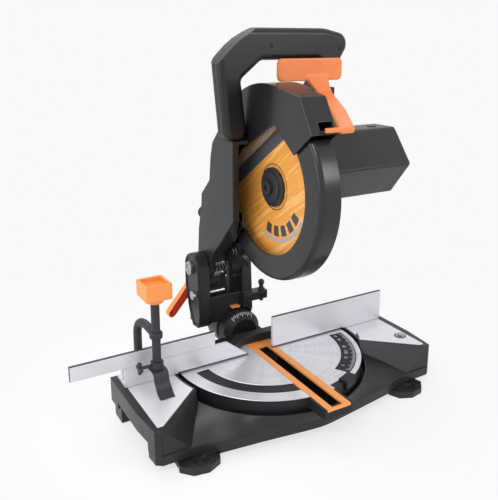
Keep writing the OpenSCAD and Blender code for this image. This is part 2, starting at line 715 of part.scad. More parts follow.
hook_x1 = 13;
guard_front_right = low_guard_half + 1.5 + guard_wall;

// Gear case between the arm web and the motor
module case_outline(grow) {
  translate([arbor_y, arbor_z]) circle(r = 26 + grow);
  translate([motor_y, motor_z]) circle(r = 40 + grow);
}
module gear_case() {
  color(black) difference() {
    translate([web_out, 0, 0]) rotate([90, 0, 90]) linear_extrude(case_out - web_out) case_outline(4);
    translate([web_out - 1, 0, 0]) rotate([90, 0, 90]) linear_extrude(case_out - web_out - 9) {
      translate([arbor_y, arbor_z]) circle(r = 25.5);
      translate([motor_y, motor_z]) circle(r = 15);
    }
    x_rod(bearing_r - 2, case_out - 10, case_out - 1, arbor_y, arbor_z);
    x_rod(motor_bearing_r, case_out - 10, case_out + 1, motor_y, motor_z);
    z_rod(lock_button_r + run_fit, motor_z + 20, motor_z + 60, lock_button_x, motor_y - 14);
  }
}
lock_button_r = 4;
lock_button_x = (web_out + case_out) / 2 + 4;
module spindle_lock() {
  color(dark) {
    z_rod(lock_button_r, motor_z + 26, motor_z + 52, lock_button_x, motor_y - 14);
    z_rod(lock_button_r + 2.5, motor_z + 48, motor_z + 52, lock_button_x, motor_y - 14);
  }
}

// Motor
function hex_outline(wall) = [[motor_half_d - wall * 1.3, 0], [20 - wall * 0.3, motor_half_h - wall],
  [-20 + wall * 0.3, motor_half_h - wall], [-motor_half_d + wall * 1.3, 0], [-20 + wall * 0.3, -motor_half_h + wall],
  [20 - wall * 0.3, -motor_half_h + wall]];
module hex_bar(x0, x1, wall) {
  translate([0, motor_y, motor_z - 2]) side_plate(x0, x1, hex_outline(wall));
}
module motor_housing() {
  color(black) difference() {
    hex_bar(motor_in, cap_in, 0);
    hex_bar(motor_in + 3, cap_in + 1, 4);
    x_rod(16, motor_in - 1, motor_in + 4, motor_y, motor_z);
    z_rod(brush_r, motor_z - 60, motor_z + 60, brush_x, motor_y);
  }
}
brush_x = cap_in - 14;
brush_r = 6;
module brush_caps() {
  color(dark) for (s = [-1, 1]) {
    z0 = motor_z - 2 + s * (motor_half_h - 4);
    z_rod(brush_r, z0 - 5, z0 + 5, brush_x, motor_y);
  }
}
module motor_end_cap() {
  color(black) difference() {
    union() {
      hex_bar(cap_in, motor_end - 4, 0);
      hex_bar(motor_end - 5, motor_end, 4);
    }
    hex_bar(cap_in - 1, cap_in + 4, 5);
    x_rod(motor_bearing_r, cap_in - 1, cap_in + 8, motor_y, motor_z);
    for (a = [0:40:320]) translate([motor_end - 9, motor_y, motor_z]) rotate([a, 0, 0])
      box([-6, -2, 15], [12, 2, 29]);
  }
}
stator_r = motor_half_h;
rotor_r = 25;
core_x0 = motor_in + 28;
core_x1 = cap_in - 34;
module stator() {
  color(steel) difference() {
    intersection() {
      x_rod(stator_r, core_x0, core_x1, motor_y, motor_z - 2);
      hex_bar(core_x0, core_x1, 4);
    }
    x_rod(rotor_r + 0.6, core_x0 - 1, core_x1 + 1, motor_y, motor_z);
  }
}
module armature() {
  color(steel) {
    x_rod(4, web_out + 3, cap_in + 8, motor_y, motor_z);
    x_rod(rotor_r, core_x0 + 1, core_x1 - 1, motor_y, motor_z);
    x_rod(13, core_x1 + 6, core_x1 + 22, motor_y, motor_z);
    translate([gear_x0, motor_y, motor_z]) rotate([90, 0, 90]) rotate([0, 0, pinion_phase]) linear_extrude(10) spur(pinion_teeth);
  }
}
module cooling_fan() {
  color(dark) translate([motor_in + 8, motor_y, motor_z]) rotate([90, 0, 90]) difference() {
    union() {
      cylinder(r = 33, h = 2);
      cylinder(r = 9, h = 10);
      for (a = [0:36:324]) rotate([0, 0, a]) box([8, -1, 0], [33, 1, 10]);
    }
    translate([0, 0, -1]) cylinder(r = 4, h = 12);
  }
}
module ring_bearing(x0, w, y, z, r_in, r_out) {
  difference() {
    x_rod(r_out, x0, x0 + w, y, z);
    x_rod(r_in, x0 - 1, x0 + w + 1, y, z);
  }
}
module arbor_bearings() {
  color(steel) {
    ring_bearing(web_out - bearing_w, bearing_w, arbor_y, arbor_z, arbor_r + run_fit, bearing_r);
    ring_bearing(case_out - 10, 8, arbor_y, arbor_z, arbor_r + run_fit, bearing_r - 2);
  }
}
module motor_bearings() {
  color(steel) {
    ring_bearing(case_out - 9, 8, motor_y, motor_z, 4 + run_fit, motor_bearing_r);
    ring_bearing(cap_in, 7, motor_y, motor_z, 4 + run_fit, motor_bearing_r);
  }
}

// Involute spur gear outline
gear_play = 0.12;
function involute(rb, t) = [rb * (cos(t) + t * PI / 180 * sin(t)), rb * (sin(t) - t * PI / 180 * cos(t))];
function involute_angle(rb, r) = sqrt(max(0, (r / rb) * (r / rb) - 1)) * 180 / PI;
function turn2(p, a) = [p[0] * cos(a) - p[1] * sin(a), p[0] * sin(a) + p[1] * cos(a)];
module spur(teeth) {
  rp = gear_module * teeth / 2;
  rb = rp * cos(gear_press);
  ra = rp + 0.9 * gear_module;
  rf = rp - 1.25 * gear_module;
  t_p = involute_angle(rb, rp);
  inv_p = t_p - gear_press;
  half = 90 / teeth - gear_play / rp * 180 / PI / 2 + inv_p;
  r0 = max(rb, rf);
  flank = [for (i = [0:4]) let (r = r0 + (ra - r0) * i / 4) turn2(involute(rb, involute_angle(rb, r)), -half)];
  mirror_flank = [for (i = [4:-1:0]) [flank[i][0], -flank[i][1]]];
  root_a = 180 / teeth;
  polygon([for (n = [0:teeth - 1]) each [for (p = concat([polar(rf, -half), each flank], mirror_flank, [polar(rf, half)]))
    turn2(p, n * 360 / teeth)]]);
}
pinion_phase = gear_lean + 180 + 180 / pinion_teeth;
module driven_gear() {
  color(steel) translate([gear_x0, arbor_y, arbor_z]) rotate([90, 0, 90]) difference() {
    rotate([0, 0, gear_lean]) linear_extrude(10) spur(gear_teeth);
    translate([0, 0, -1]) cylinder(r = arbor_r, h = 12);
  }
}

// Arbor, blade and flanges
tooth_depth = 9;
flange_t = 7;
module arbor() {
  color(steel) {
    x_rod(arbor_r, -blade_t / 2 - flange_t, case_out - 2, arbor_y, arbor_z);
    x_rod(arbor_r + 4, blade_t / 2 + flange_t, web_out - bearing_w, arbor_y, arbor_z);
  }
}
module saw_blade() {
  r = blade_d / 2 - 1.2;
  color(orange) translate([-blade_t / 2, arbor_y, arbor_z]) rotate([90, 0, 90]) difference() {
    linear_extrude(blade_t) polygon([for (n = [0:blade_teeth - 1]) let (a = 360 * n / blade_teeth, p = 360 / blade_teeth)
      each [polar(r - tooth_depth, a), polar(r, a - 1.1), polar(r - 2, a + 0.3 * p), polar(r - tooth_depth + 1, a + 0.66 * p)]]);
    translate([0, 0, -1]) cylinder(r = arbor_r, h = blade_t + 2);
  }
}
module blade_tips() {
  r = blade_d / 2;
  color(steel) for (n = [0:blade_teeth - 1]) translate([0, arbor_y, arbor_z]) rotate([360 * n / blade_teeth - 1.2, 0, 0])
    box([-blade_t / 2 - 0.3, r - 7, -2.0], [blade_t / 2 + 0.3, r, -0.0]);
}
module inner_flange() {
  color(dark) ring_bearing(blade_t / 2, flange_t, arbor_y, arbor_z, arbor_r, flange_r);
}
module outer_flange() {
  color(black) difference() {
    union() {
      x_rod(flange_r, -blade_t / 2 - 4, -blade_t / 2, arbor_y, arbor_z);
      x_rod(flange_r - 5, -blade_t / 2 - flange_t, -blade_t / 2 - 3, arbor_y, arbor_z);
    }
    x_rod(arbor_r, -blade_t / 2 - flange_t - 1, 1, arbor_y, arbor_z);
  }
}
module arbor_bolt() {
  x1 = -blade_t / 2 - flange_t;
  color(steel) difference() {
    x_rod(8, x1 - 5, x1, arbor_y, arbor_z);
    translate([x1 - 6, arbor_y, arbor_z]) rotate([0, 90, 0]) cylinder(r = 4.6, h = 4, $fn = 6);
  }
}

// Lower guard: ring-shaped left face, rim, right face and hub ring
low_guard_from = 140;
low_guard_to = 310;
module lower_guard() {
  half = low_guard_half;
  color(black) difference() {
    union() {
      intersection() {
        x_rod(low_guard_r, -half, half, arbor_y, arbor_z);
        translate([-half, 0, 0]) rotate([90, 0, 90]) linear_extrude(2 * half) polygon(concat([[arbor_y, arbor_z]],
          arbor_arc(low_guard_r * 2, low_guard_from, low_guard_to, 8)));
      }
      x_rod(collar_r + 7, collar_in + 0.3, half, arbor_y, arbor_z);
    }
    x_rod(low_guard_r - guard_wall, -half + guard_wall, half - guard_wall, arbor_y, arbor_z);
    x_rod(window_r, -half - 1, half - guard_wall, arbor_y, arbor_z);
    x_rod(collar_r + run_fit, -half - 1, half + 1, arbor_y, arbor_z);
  }
}

// Handle: a loop across the machine, in two shells
module bar(points, r) {
  hull() for (p = points) translate([p[0], handle_y, p[1]]) sphere(r = r, $fn = 24);
}
module handle_loop() {
  r = grip_half;
  low = grip_top - grip_bar + r;
  high = grip_top - r;
  bend_z = grip_top - 46;
  left = handle_left + r;
  right = handle_right - r;
  nose = [handle_right - 37, grip_top - 62];
  bar([[left, bend_z], [left + 4, bend_z - 8], [left + 13, seat_z + 5], [left + 9, seat_z + 5]], r);
  bar([[left, bend_z], [left + 4, bend_z - 8], [left + 19, bend_z + 19], [-4, low], [0, high]], r);
  bar([[-2, high], [6, low], [right - 16, high], [right, high - 7], [right - 4, low]], r);
  bar([[right - 2, low + 2], [right - 12, low - 4], nose], r);
  bar([nose, [(web_out + case_out) / 2 + 2, post_foot_z + 6]], r * 0.85);
}
module handle_half(y0, y1) {
  intersection() {
    handle_loop();
    box([handle_left - 9, y0, seat_z], [handle_right + 9, y1, grip_top + 9]);
  }
}
trigger_y = 2;
trigger_z = grip_top - 77;
trigger_pin_r = 3;
trig_x0 = 70;
trig_x1 = 88;
module handle_front() {
  color(black) difference() {
    union() {
      handle_half(handle_y - grip_half, handle_y);
      box([trig_x1 + 0.6, trigger_y - 6, trigger_z - 6], [trig_x1 + 6, handle_y - 3, trigger_z + 6]);
    }
    case_clear();
    x_rod(trigger_pin_r, trig_x1 - 1, trig_x1 + 12, trigger_y, trigger_z);
    switch_pocket();
    screw_rods();
  }
}
module handle_rear() {
  color(black) difference() {
    handle_half(handle_y, handle_y + grip_half);
    case_clear();
    switch_pocket();
  }
}
// The curved foot of the right leg seats on the gear case
module case_clear() {
  translate([web_out - 60, 0, 0]) rotate([90, 0, 90]) linear_extrude(case_out - web_out + 160) case_outline(4);
}
module switch_pocket() {
  box([30, handle_y - 7, grip_z - 8], [62, handle_y + 7, grip_z + 8]);
}
module power_switch() {
  color(dark) switch_pocket();
}
screw_points = [[12, grip_z - 2], [handle_right - 14, grip_z - 6], [handle_left + 24, seat_z + 8]];
module handle_screws() {
  color(steel) screw_rods();
}
module screw_rods() {
  for (p = screw_points) y_rod(2.6, handle_y - grip_half - 0.4, handle_y - 2, p[0], p[1]);
}

// Trigger and guard release lever in one piece
trig_front = 3.5;
trig_top = grip_top - grip_bar + 2;
trig_bottom = grip_top - 63;
module knuckle(x0, x1, y, z, r) {
  x_rod(r, x0, x1, y, z, $fn = 24);
}
module trigger_lever() {
  color(orange) difference() {
    union() {
      hull() for (x = [22, 104]) for (z = [trig_bottom + 6, trig_top - 6]) y_rod(6, trig_front, trig_front + 5, x, z, $fn = 24);
      box([31, trig_front + 4, trig_bottom + 4], [72, handle_y - 3, trig_top - 6]);
      x_rod(8, trig_x0, trig_x1, trigger_y, trigger_z);
      hull() {
        knuckle(trig_x0 - 14, trig_x1, trig_front + 3, trig_bottom + 6, 3);
        knuckle(trig_x0, trig_x1, trigger_y - 5, trigger_z - 2, 3);
      }
      hull() {
        knuckle(trig_x0, trig_x1, trigger_y - 3, trigger_z - 1, 4);
        knuckle(47, 67, arbor_y - 42, arbor_z + 89, 4);
      }
      hull() {
        knuckle(47, 67, arbor_y - 42, arbor_z + 89, 4);
        knuckle(guard_front_right + 1.5, guard_front_right + 19, arbor_y - 96, arbor_z + 77.5, 4);
      }
      box([hook_x0, brow[0] - 7, brow[1] + 2.5], [guard_front_right + 10, brow[0] - 2.2, brow[1] + 7.5]);
    }
    x_rod(trigger_pin_r + run_fit, trig_x0 - 6, trig_x1 + 1, trigger_y, trigger_z);
  }
}
module trigger_pin() {
  color(steel) x_rod(trigger_pin_r, trig_x0 - 2, trig_x1 + 6, trigger_y, trigger_z);
}

// Cable inlet boss on the back of the arm
gland_r = 7;
gland_x = (arm_left + arm_left_in) / 2;
gland_z = hinge_z + 70;
module cable_gland() {
  color(dark) difference() {
    union() {
      y_rod(gland_r, hinge_y - 12, hinge_y + 14, gland_x, gland_z);
      y_rod(gland_r + 2, hinge_y + 10, hinge_y + 18, gland_x, gland_z);
    }
    y_rod(3.6, hinge_y - 13, hinge_y + 19, gland_x, gland_z);
  }
}

base_casting();
fence_left();
fence_right();
fence_bridge();
fence_bolts();
mitre_pivot();
sliding_fence();
fence_lock_screw();
clamp_arm();
clamp_shoe();
shoe_screw();
clamp_screw();
clamp_knob();
turntable();
kerf_plate();
kerf_screws();
mitre_scale();
bevel_bolt();
mitre_latch();
bevel_yoke();
hinge_pin();
hinge_nuts();
return_spring();
stop_screw();
bevel_pointer();
lock_pin();
bevel_lever();
head_arm();
upper_guard();
gear_case();
motor_housing();
motor_end_cap();
stator();
brush_caps();
handle_front();
handle_rear();
handle_screws();
power_switch();
cable_gland();
arbor_bearings();
motor_bearings();
trigger_pin();
trigger_lever();
spindle_lock();
arbor();
saw_blade();
blade_tips();
inner_flange();
outer_flange();
arbor_bolt();
driven_gear();
armature();
cooling_fan();
lower_guard();
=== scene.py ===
import json
import math

import bmesh
import bpy
from mathutils import Matrix, Vector

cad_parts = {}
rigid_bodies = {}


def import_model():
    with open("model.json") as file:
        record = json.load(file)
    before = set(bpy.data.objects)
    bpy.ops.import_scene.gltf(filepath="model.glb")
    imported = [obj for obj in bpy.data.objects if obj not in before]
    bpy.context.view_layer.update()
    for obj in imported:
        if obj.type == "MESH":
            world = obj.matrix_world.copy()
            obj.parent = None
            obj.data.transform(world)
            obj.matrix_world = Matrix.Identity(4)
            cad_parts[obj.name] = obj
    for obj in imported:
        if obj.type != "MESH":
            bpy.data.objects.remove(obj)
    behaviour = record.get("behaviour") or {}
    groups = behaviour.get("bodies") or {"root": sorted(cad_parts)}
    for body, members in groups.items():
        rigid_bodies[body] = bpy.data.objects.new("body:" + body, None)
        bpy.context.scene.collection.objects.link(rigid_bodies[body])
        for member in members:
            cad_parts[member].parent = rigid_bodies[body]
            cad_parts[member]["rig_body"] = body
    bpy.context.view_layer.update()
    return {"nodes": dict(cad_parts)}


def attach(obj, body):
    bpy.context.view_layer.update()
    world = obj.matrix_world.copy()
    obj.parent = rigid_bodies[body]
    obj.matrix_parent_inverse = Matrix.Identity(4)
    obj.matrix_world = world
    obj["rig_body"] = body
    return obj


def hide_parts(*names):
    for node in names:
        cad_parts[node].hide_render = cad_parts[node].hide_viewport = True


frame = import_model()

# Base casting: a die-cast aluminium bed with two wings, a bowed front apron
# and bolt lugs. It is sprayed satin black, then the wing tops are milled
# bright inside a narrow black rim. One bolt with its washer shows on a wing.
MM = 0.001
# A Mix node's colour sockets share their names with others, so they go by number.
COLOUR_A, COLOUR_B, COLOUR_OUT = 6, 7, 2


def tint(code):
    """An sRGB hex colour as linear RGBA."""
    parts = [int(code[i:i + 2], 16) / 255 for i in (1, 3, 5)]
    return [c / 12.92 if c <= 0.04045 else ((c + 0.055) / 1.055) ** 2.4 for c in parts] + [1.0]


def add(tree, kind, feeds=None, **settings):
    """Add a node, set it, and link or set its inputs."""
    node = tree.nodes.new(kind)
    for key, value in settings.items():
        setattr(node, key, value)
    for socket, value in (feeds or {}).items():
        if isinstance(value, bpy.types.NodeSocket):
            tree.links.new(value, node.inputs[socket])
        else:
            node.inputs[socket].default_value = value
    return node


def finish(name, light, dark, rough, grain_mm, relief_mm, metallic=0.0, cloud_mm=45.0, shine=0.5):
    """A coat with soft clouds of tone, uneven gloss and a fine grain; returns its parts."""
    swing = 0.05
    mat = bpy.data.materials.new(name)
    mat.use_nodes = True
    tree = mat.node_tree
    tree.nodes.clear()
    place = add(tree, "ShaderNodeTexCoord").outputs["Object"]
    cloud = add(tree, "ShaderNodeTexNoise",
                {"Vector": place, "Scale": 1 / (cloud_mm * MM), "Detail": 4.0}).outputs["Fac"]
    grain = add(tree, "ShaderNodeTexNoise",
                {"Vector": place, "Scale": 1 / (grain_mm * MM), "Detail": 2.0}).outputs["Fac"]
    tone = add(tree, "ShaderNodeMix", {0: cloud, COLOUR_A: tint(dark), COLOUR_B: tint(light)},
               data_type="RGBA").outputs[COLOUR_OUT]
    gloss = add(tree, "ShaderNodeMapRange",
                {"Value": cloud, "From Min": 0.3, "From Max": 0.7,
                 "To Min": rough - swing, "To Max": rough + swing}).outputs["Result"]
    relief = add(tree, "ShaderNodeBump", {"Height": grain, "Strength": 0.4, "Distance": relief_mm * MM})
    shader = add(tree, "ShaderNodeBsdfPrincipled",
                 {"Base Color": tone, "Roughness": gloss, "Normal": relief.outputs["Normal"],
                  "Metallic": metallic, "Specular IOR Level": shine})
    add(tree, "ShaderNodeOutputMaterial", {"Surface": shader.outputs["BSDF"]})
    return {"mat": mat, "tree": tree, "place": place, "tone": tone, "gloss": gloss, "shader": shader}


def inside(tree, limits):
    """A mask that is 1 where every value lies between its low and high limit; None leaves a side open."""
    mask = None
    for value, low, high in limits:
        for edge, way in ((low, "GREATER_THAN"), (high, "LESS_THAN")):
            if edge is None:
                continue
            test = add(tree, "ShaderNodeMath", {0: value, 1: edge}, operation=way).outputs[0]
            if mask is None:
                mask = test
            else:
                mask = add(tree, "ShaderNodeMath", {0: mask, 1: test}, operation="MULTIPLY").outputs[0]
    return mask


def lay_over(coat, mask, colour):
    """Give a coat another colour where a mask is 1."""
    skin = add(coat["tree"], "ShaderNodeMix", {0: mask, COLOUR_A: coat["tone"], COLOUR_B: colour},
               data_type="RGBA")
    coat["tree"].links.new(skin.outputs[COLOUR_OUT], coat["shader"].inputs["Base Color"])


def machine(coat, mask, colour, rough, metallic):
    """Bare a coat to the machined metal where a mask is 1."""
    tree = coat["tree"]
    lay_over(coat, mask, colour)
    sheen = add(tree, "ShaderNodeMapRange", {"Value": mask, "To Min": coat["gloss"], "To Max": rough})
    tree.links.new(sheen.outputs["Result"], coat["shader"].inputs["Roughness"])
    metal = add(tree, "ShaderNodeMath", {0: mask, 1: metallic}, operation="MULTIPLY")
    tree.links.new(metal.outputs[0], coat["shader"].inputs["Metallic"])


def dress(piece, node, material, replaced=True):
    """Put a finished piece on the body of a CAD node, in that node's place or beside it."""
    bpy.context.scene.collection.objects.link(piece)
    piece.data.materials.clear()
    piece.data.materials.append(material)
    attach(piece, frame["nodes"][node]["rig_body"])
    if replaced:
        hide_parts(node)


def smoothed(name, shape, sharp_deg=46):
    """An object from a bmesh, smooth up to an angle."""
    for face in shape.faces:
        face.smooth = True
    mesh = bpy.data.meshes.new(name)
    shape.to_mesh(mesh)
    shape.free()
    mesh.set_sharp_from_angle(angle=math.radians(sharp_deg))
    piece = bpy.data.objects.new(name, mesh)
    piece.modifiers.new("even shading", "WEIGHTED_NORMAL").keep_sharp = True
    return piece


def remade(node, material, shape):
    """A shape that stands in for a CAD node."""
    dress(smoothed(node + "_finished", shape), node, material)


def trim(name, node, material, shape, sharp_deg=46):
    """A small piece that sits on a CAD node and moves with it."""
    dress(smoothed(name, shape, sharp_deg), node, material, replaced=False)


def merged(node):
    """A CAD node's mesh as a bmesh with its corners merged and flat faces joined."""
    shape = bmesh.new()
    shape.from_mesh(frame["nodes"][node].data)
    bmesh.ops.remove_doubles(shape, verts=shape.verts, dist=2e-6)
    bmesh.ops.dissolve_limit(shape, angle_limit=math.radians(0.6), verts=shape.verts, edges=shape.edges)
    return shape


def bevelled(shape, edges, width_mm, steps):
    """Round some edges of a bmesh."""
    bmesh.ops.bevel(shape, geom=edges, offset=width_mm * MM, offset_type="OFFSET", segments=steps,
                    profile=0.5, affect="EDGES", clamp_overlap=False, loop_slide=True)


def rounded(node, material, width_mm, steps=3, corner_deg=32, soft=None, soft_mm=0.0, start=None):
    """A copy of a CAD node with its sharp edges rounded; the edges that soft picks are rounded more."""
    shape = start or merged(node)
    if soft:
        bevelled(shape, [e for e in shape.edges if soft(e)], soft_mm, 6)
    sharp = [e for e in shape.edges
             if len(e.link_faces) == 2 and e.calc_face_angle(0) > math.radians(corner_deg)]
    bevelled(shape, sharp, width_mm, steps)
    remade(node, material, shape)


def loft(loops, ring=False):
    """A body through loops of points in mm, with both ends filled, or joined end to end as a ring."""
    shape = bmesh.new()
    rows = [[shape.verts.new(Vector(point) * MM) for point in loop] for loop in loops]
    for first, second in zip(rows, rows[1:] + rows[:1] if ring else rows[1:]):
        for i in range(len(first)):
            shape.faces.new((first[i - 1], first[i], second[i], second[i - 1]))
    if not ring:
        shape.faces.new(rows[0])
        shape.faces.new(rows[-1])
    bmesh.ops.recalc_face_normals(shape, faces=shape.faces)
    return shape


def disc(shape, radius_mm, low_mm, high_mm, place, round_mm=0.0, sides=40):
    """Add a round block about Z, from low to high, with rounded rims, moved to its place."""
    lift = Matrix.Translation((0, 0, (low_mm + high_mm) / 2 * MM))
    ring = set(bmesh.ops.create_cone(shape, cap_ends=True, segments=sides, radius1=radius_mm * MM,
                                     radius2=radius_mm * MM, depth=(high_mm - low_mm) * MM,
                                     matrix=place @ lift)["verts"])
    if round_mm:
        rims = [e for e in shape.edges if set(e.verts) <= ring and e.calc_face_angle(0) > 1.0]
        bmesh.ops.bevel(shape, geom=rims, offset=round_mm * MM, segments=3, profile=0.5, affect="EDGES")


# Spray paint dries with a faint orange peel, so the black has a broad, broken
# shine. The peel is finer on the real saw and is drawn at 0.9 mm to show.
black_paint = {"light": "#29292c", "dark": "#212124", "rough": 0.34,
               "grain_mm": 0.9, "relief_mm": 0.05, "shine": 0.3}
cast_paint = finish("satin black paint on die-cast aluminium", **black_paint)

# The milled wing tops are pale and silky, with faint marks along the cutter's
# way, 83 mm long and 1.1 mm wide, here as counts to the metre.
bed = finish("black painted bed with machined wing tops", **black_paint)
wing_top = 50.0
bright_half = 187.5
bright_front = -90.0
bright_r = 129.0
bright_edge = 52.5
across_wing_edge = (0.663, 0.749, 0)
mill_marks = (12, 900, 1)
tree = bed["tree"]
spot = add(tree, "ShaderNodeSeparateXYZ", {0: bed["place"]}).outputs
side = add(tree, "ShaderNodeMath", {0: spot["X"]}, operation="ABSOLUTE").outputs[0]
normal = add(tree, "ShaderNodeNewGeometry").outputs["Normal"]
upward = add(tree, "ShaderNodeSeparateXYZ", {0: normal}).outputs["Z"]
flat = add(tree, "ShaderNodeVectorMath", {0: bed["place"], 1: (1, 1, 0)}, operation="MULTIPLY").outputs[0]
reach = add(tree, "ShaderNodeVectorMath", {0: flat}, operation="LENGTH").outputs["Value"]
folded = add(tree, "ShaderNodeCombineXYZ", {"X": side, "Y": spot["Y"]}).outputs[0]
slant = add(tree, "ShaderNodeVectorMath", {0: folded, 1: across_wing_edge},
            operation="DOT_PRODUCT").outputs["Value"]
bright = inside(tree, ((upward, 0.95, None), (spot["Z"], (wing_top - 0.7) * MM, None),
                       (side, None, bright_half * MM), (slant, bright_edge * MM, None),
                       (reach, bright_r * MM, None), (spot["Y"], bright_front * MM, None)))
marks = add(tree, "ShaderNodeMapping", {"Vector": bed["place"], "Scale": mill_marks}).outputs[0]
streak = add(tree, "ShaderNodeTexNoise", {"Vector": marks, "Scale": 1.0, "Detail": 3.0}).outputs["Fac"]
milled = add(tree, "ShaderNodeMix", {0: streak, COLOUR_A: tint("#dadadf"), COLOUR_B: tint("#eaeaef")},
             data_type="RGBA").outputs[COLOUR_OUT]
machine(bed, bright, milled, rough=0.34, metallic=0.3)

# The front apron is a cove from the ring round the table down to a bowed
# wall, so the deck of the solid is sunk a little under it.
ring_r = 128.3
ring_top = 35.2
deck_top = 21.05
wall_top = 21.3
wall_foot = 10.2
cove_rise = 13.7
cove_power = 1.6
deck_sunk = 19.5
apron_half = 151
wing_foot = 50.6
stations = 96
cove_from_deg = -161
cove_to_deg = -19


def front_reach(across):
    """How far the bed's front wall stands before the table's centre, in mm."""
    across = abs(across)
    middle_reach = 125.2
    middle_half = 12
    bow_half = 105
    plain_reach = 100.2
    plain_half = 150
    corner_half = 187
    bowed = middle_reach - 0.15 * (math.hypot(across, middle_half) - middle_half)
    plain = plain_reach - 0.02 * max(across - plain_half, 0) - 0.5 * max(across - corner_half, 0)
    share = min(max((across - bow_half) / (plain_half - bow_half), 0), 1)
    return bowed + (plain - bowed) * share * share * (3 - 2 * share)


bed_shape = merged("base_casting")
for vert in bed_shape.verts:
    x, y, z = vert.co / MM
    on_deck = deck_top < z < ring_top - 0.3 and math.hypot(x, y) > ring_r - 0.1
    if on_deck and abs(x) < apron_half and y < -30:
        vert.co.z = deck_sunk * MM
rounded("base_casting", bed["mat"], 0.8, start=bed_shape)
cove = []
for station in range(stations):
    turn = math.radians(cove_from_deg + (cove_to_deg - cove_from_deg) * station / (stations - 1))
    wall = 112.0
    while -wall * math.sin(turn) < front_reach(wall * math.cos(turn)):
        wall += 0.1
    to_wing = across_wing_edge[0] * abs(math.cos(turn)) + across_wing_edge[1] * math.sin(turn)
    end = min(wall, wing_foot / to_wing) if to_wing > 0.05 else wall
    share = (end - ring_r) / (wall - ring_r)
    edge = wall_top + cove_rise * (1 - share) ** cove_power
    inner = min(ring_r - 2, end - 1.2)
    hidden = inner - 10.5
    profile = [(hidden, wall_foot), (end, wall_foot), (end, edge - 0.9), (end - 0.2, edge - 0.25)]
    for t in (0.96, 0.85, 0.7, 0.55, 0.4, 0.27, 0.15, 0.06):
        profile.append((ring_r + (end - ring_r) * t, wall_top + cove_rise * (1 - share * t) ** cove_power))
    profile += [(ring_r - 0.05, ring_top - 0.4), (ring_r - 0.5, ring_top), (ring_r - 2, ring_top)]
    profile += [(inner, wall_top + 0.3), (hidden, 19)]
    cove.append([(r * math.cos(turn), r * math.sin(turn), z) for r, z in profile])
trim("front_apron", "base_casting", cast_paint["mat"], loft(cove))
slope_by_table = ((119.4, -39.6, 49.6), (120.6, -46.5, 34), (121, -38, 20))
slope_by_corner = ((186, -98.4, 49.6), (153, -98.6, 20.5), (186, -98.2, 20))
for name, hand in (("wing_slope_left", -1), ("wing_slope_right", 1)):
    ends = [[(hand * x, y, z) for x, y, z in end] for end in (slope_by_table, slope_by_corner)]
    trim(name, "base_casting", cast_paint["mat"], loft(ends))
rounded("fence_bridge", cast_paint["mat"], 0.8)
arrow = ((121, -29), (126, -34), (133, -20))
index_mark = loft([[(x, y, z) for x, y in arrow] for z in (wing_top - 0.1, wing_top + 0.12)])
trim("index_mark", "base_casting", cast_paint["mat"], index_mark)

# Zinc gives the screws a cool mirror with a slight haze; black oxide leaves
# the washer and the clamp dark with a dull gleam.
bright_steel = finish("bright zinc plated steel", "#b9babd", "#9d9ea2",
                      rough=0.3, grain_mm=0.8, relief_mm=0.02, metallic=1.0, cloud_mm=12)
black_steel = finish("black oxide steel", "#333338", "#28282c",
                     rough=0.4, grain_mm=0.7, relief_mm=0.02, cloud_mm=25, shine=0.35)
on_wing = Matrix.Translation(Vector((177.4, -56.5, wing_top)) * MM)
washer = bmesh.new()
disc(washer, 8.0, -0.5, 0.35, on_wing, round_mm=0.25)
trim("wing_washer", "base_casting", black_steel["mat"], washer)
wing_bolt = bmesh.new()
disc(wing_bolt, 6.4, 0.3, 0.7, on_wing, round_mm=0.3)
disc(wing_bolt, 3.6, 0.7, 2.4, on_wing, round_mm=0.4, sides=6)
trim("wing_bolt", "base_casting", bright_steel["mat"], wing_bolt)
rounded("mitre_pivot", bright_steel["mat"], 0.5)

# Fences: two fixed plates bolted to the bed and an upper plate that slides
# on the left one. Extruded aluminium, milled flat on the faces; a nylon
# screw locks the slide.
fence_foot = 52.2
fence_top = 92.5
fence_end = 251.5
table_gap_half = 124.0
# Milling leaves an even silver grey. The top faces and the ends are darker,
# and a strip low down over the table is painted shadow, the shade in the gap under the fence.
milled_fence = finish("milled aluminium fence", "#dfdfe4", "#d2d2d8",
                      rough=0.4, grain_mm=1.2, relief_mm=0.015, metallic=0.3, cloud_mm=70)
tree = milled_fence["tree"]
spot = add(tree, "ShaderNodeSeparateXYZ", {0: milled_fence["place"]}).outputs
side = add(tree, "ShaderNodeMath", {0: spot["X"]}, operation="ABSOLUTE").outputs[0]
# Painted shadow: a dark strip low down over the table, where the gap under the fence is in shade.
dark = inside(tree, ((spot["Z"], None, fence_foot * MM), (side, None, table_gap_half * MM)))
for value, edge in ((spot["Z"], fence_top * MM), (side, fence_end * MM)):
    rim = inside(tree, ((value, edge, None),))
    dark = add(tree, "ShaderNodeMath", {0: dark, 1: rim}, operation="MAXIMUM").outputs[0]
lay_over(milled_fence, dark, tint("#3a3a3e"))
for plate in ("fence_left", "fence_right", "sliding_fence"):
    rounded(plate, milled_fence["mat"], 0.5)
rounded("fence_bolts", bright_steel["mat"], 0.5)
# Moulded nylon is a soft black with a wide, weak shine.
black_nylon = finish("moulded black nylon", "#212124", "#19191c",
                     rough=0.46, grain_mm=0.7, relief_mm=0.04, shine=0.24)
rounded("fence_lock_screw", black_nylon["mat"], 0.6)

# Work clamp: a bent steel post that stands in a socket of the bed, a sprung
# steel shoe on a screw, and a square orange knob with a sunk top. The steel
# is blackened, the knob is moulded ABS.


def plain_mesh(maker):
    """The mesh that an object's curve or modifiers give; the object itself is taken away."""
    bpy.context.scene.collection.objects.link(maker)
    mesh = bpy.data.meshes.new_from_object(maker.evaluated_get(bpy.context.evaluated_depsgraph_get()))
    bpy.data.objects.remove(maker)
    return mesh


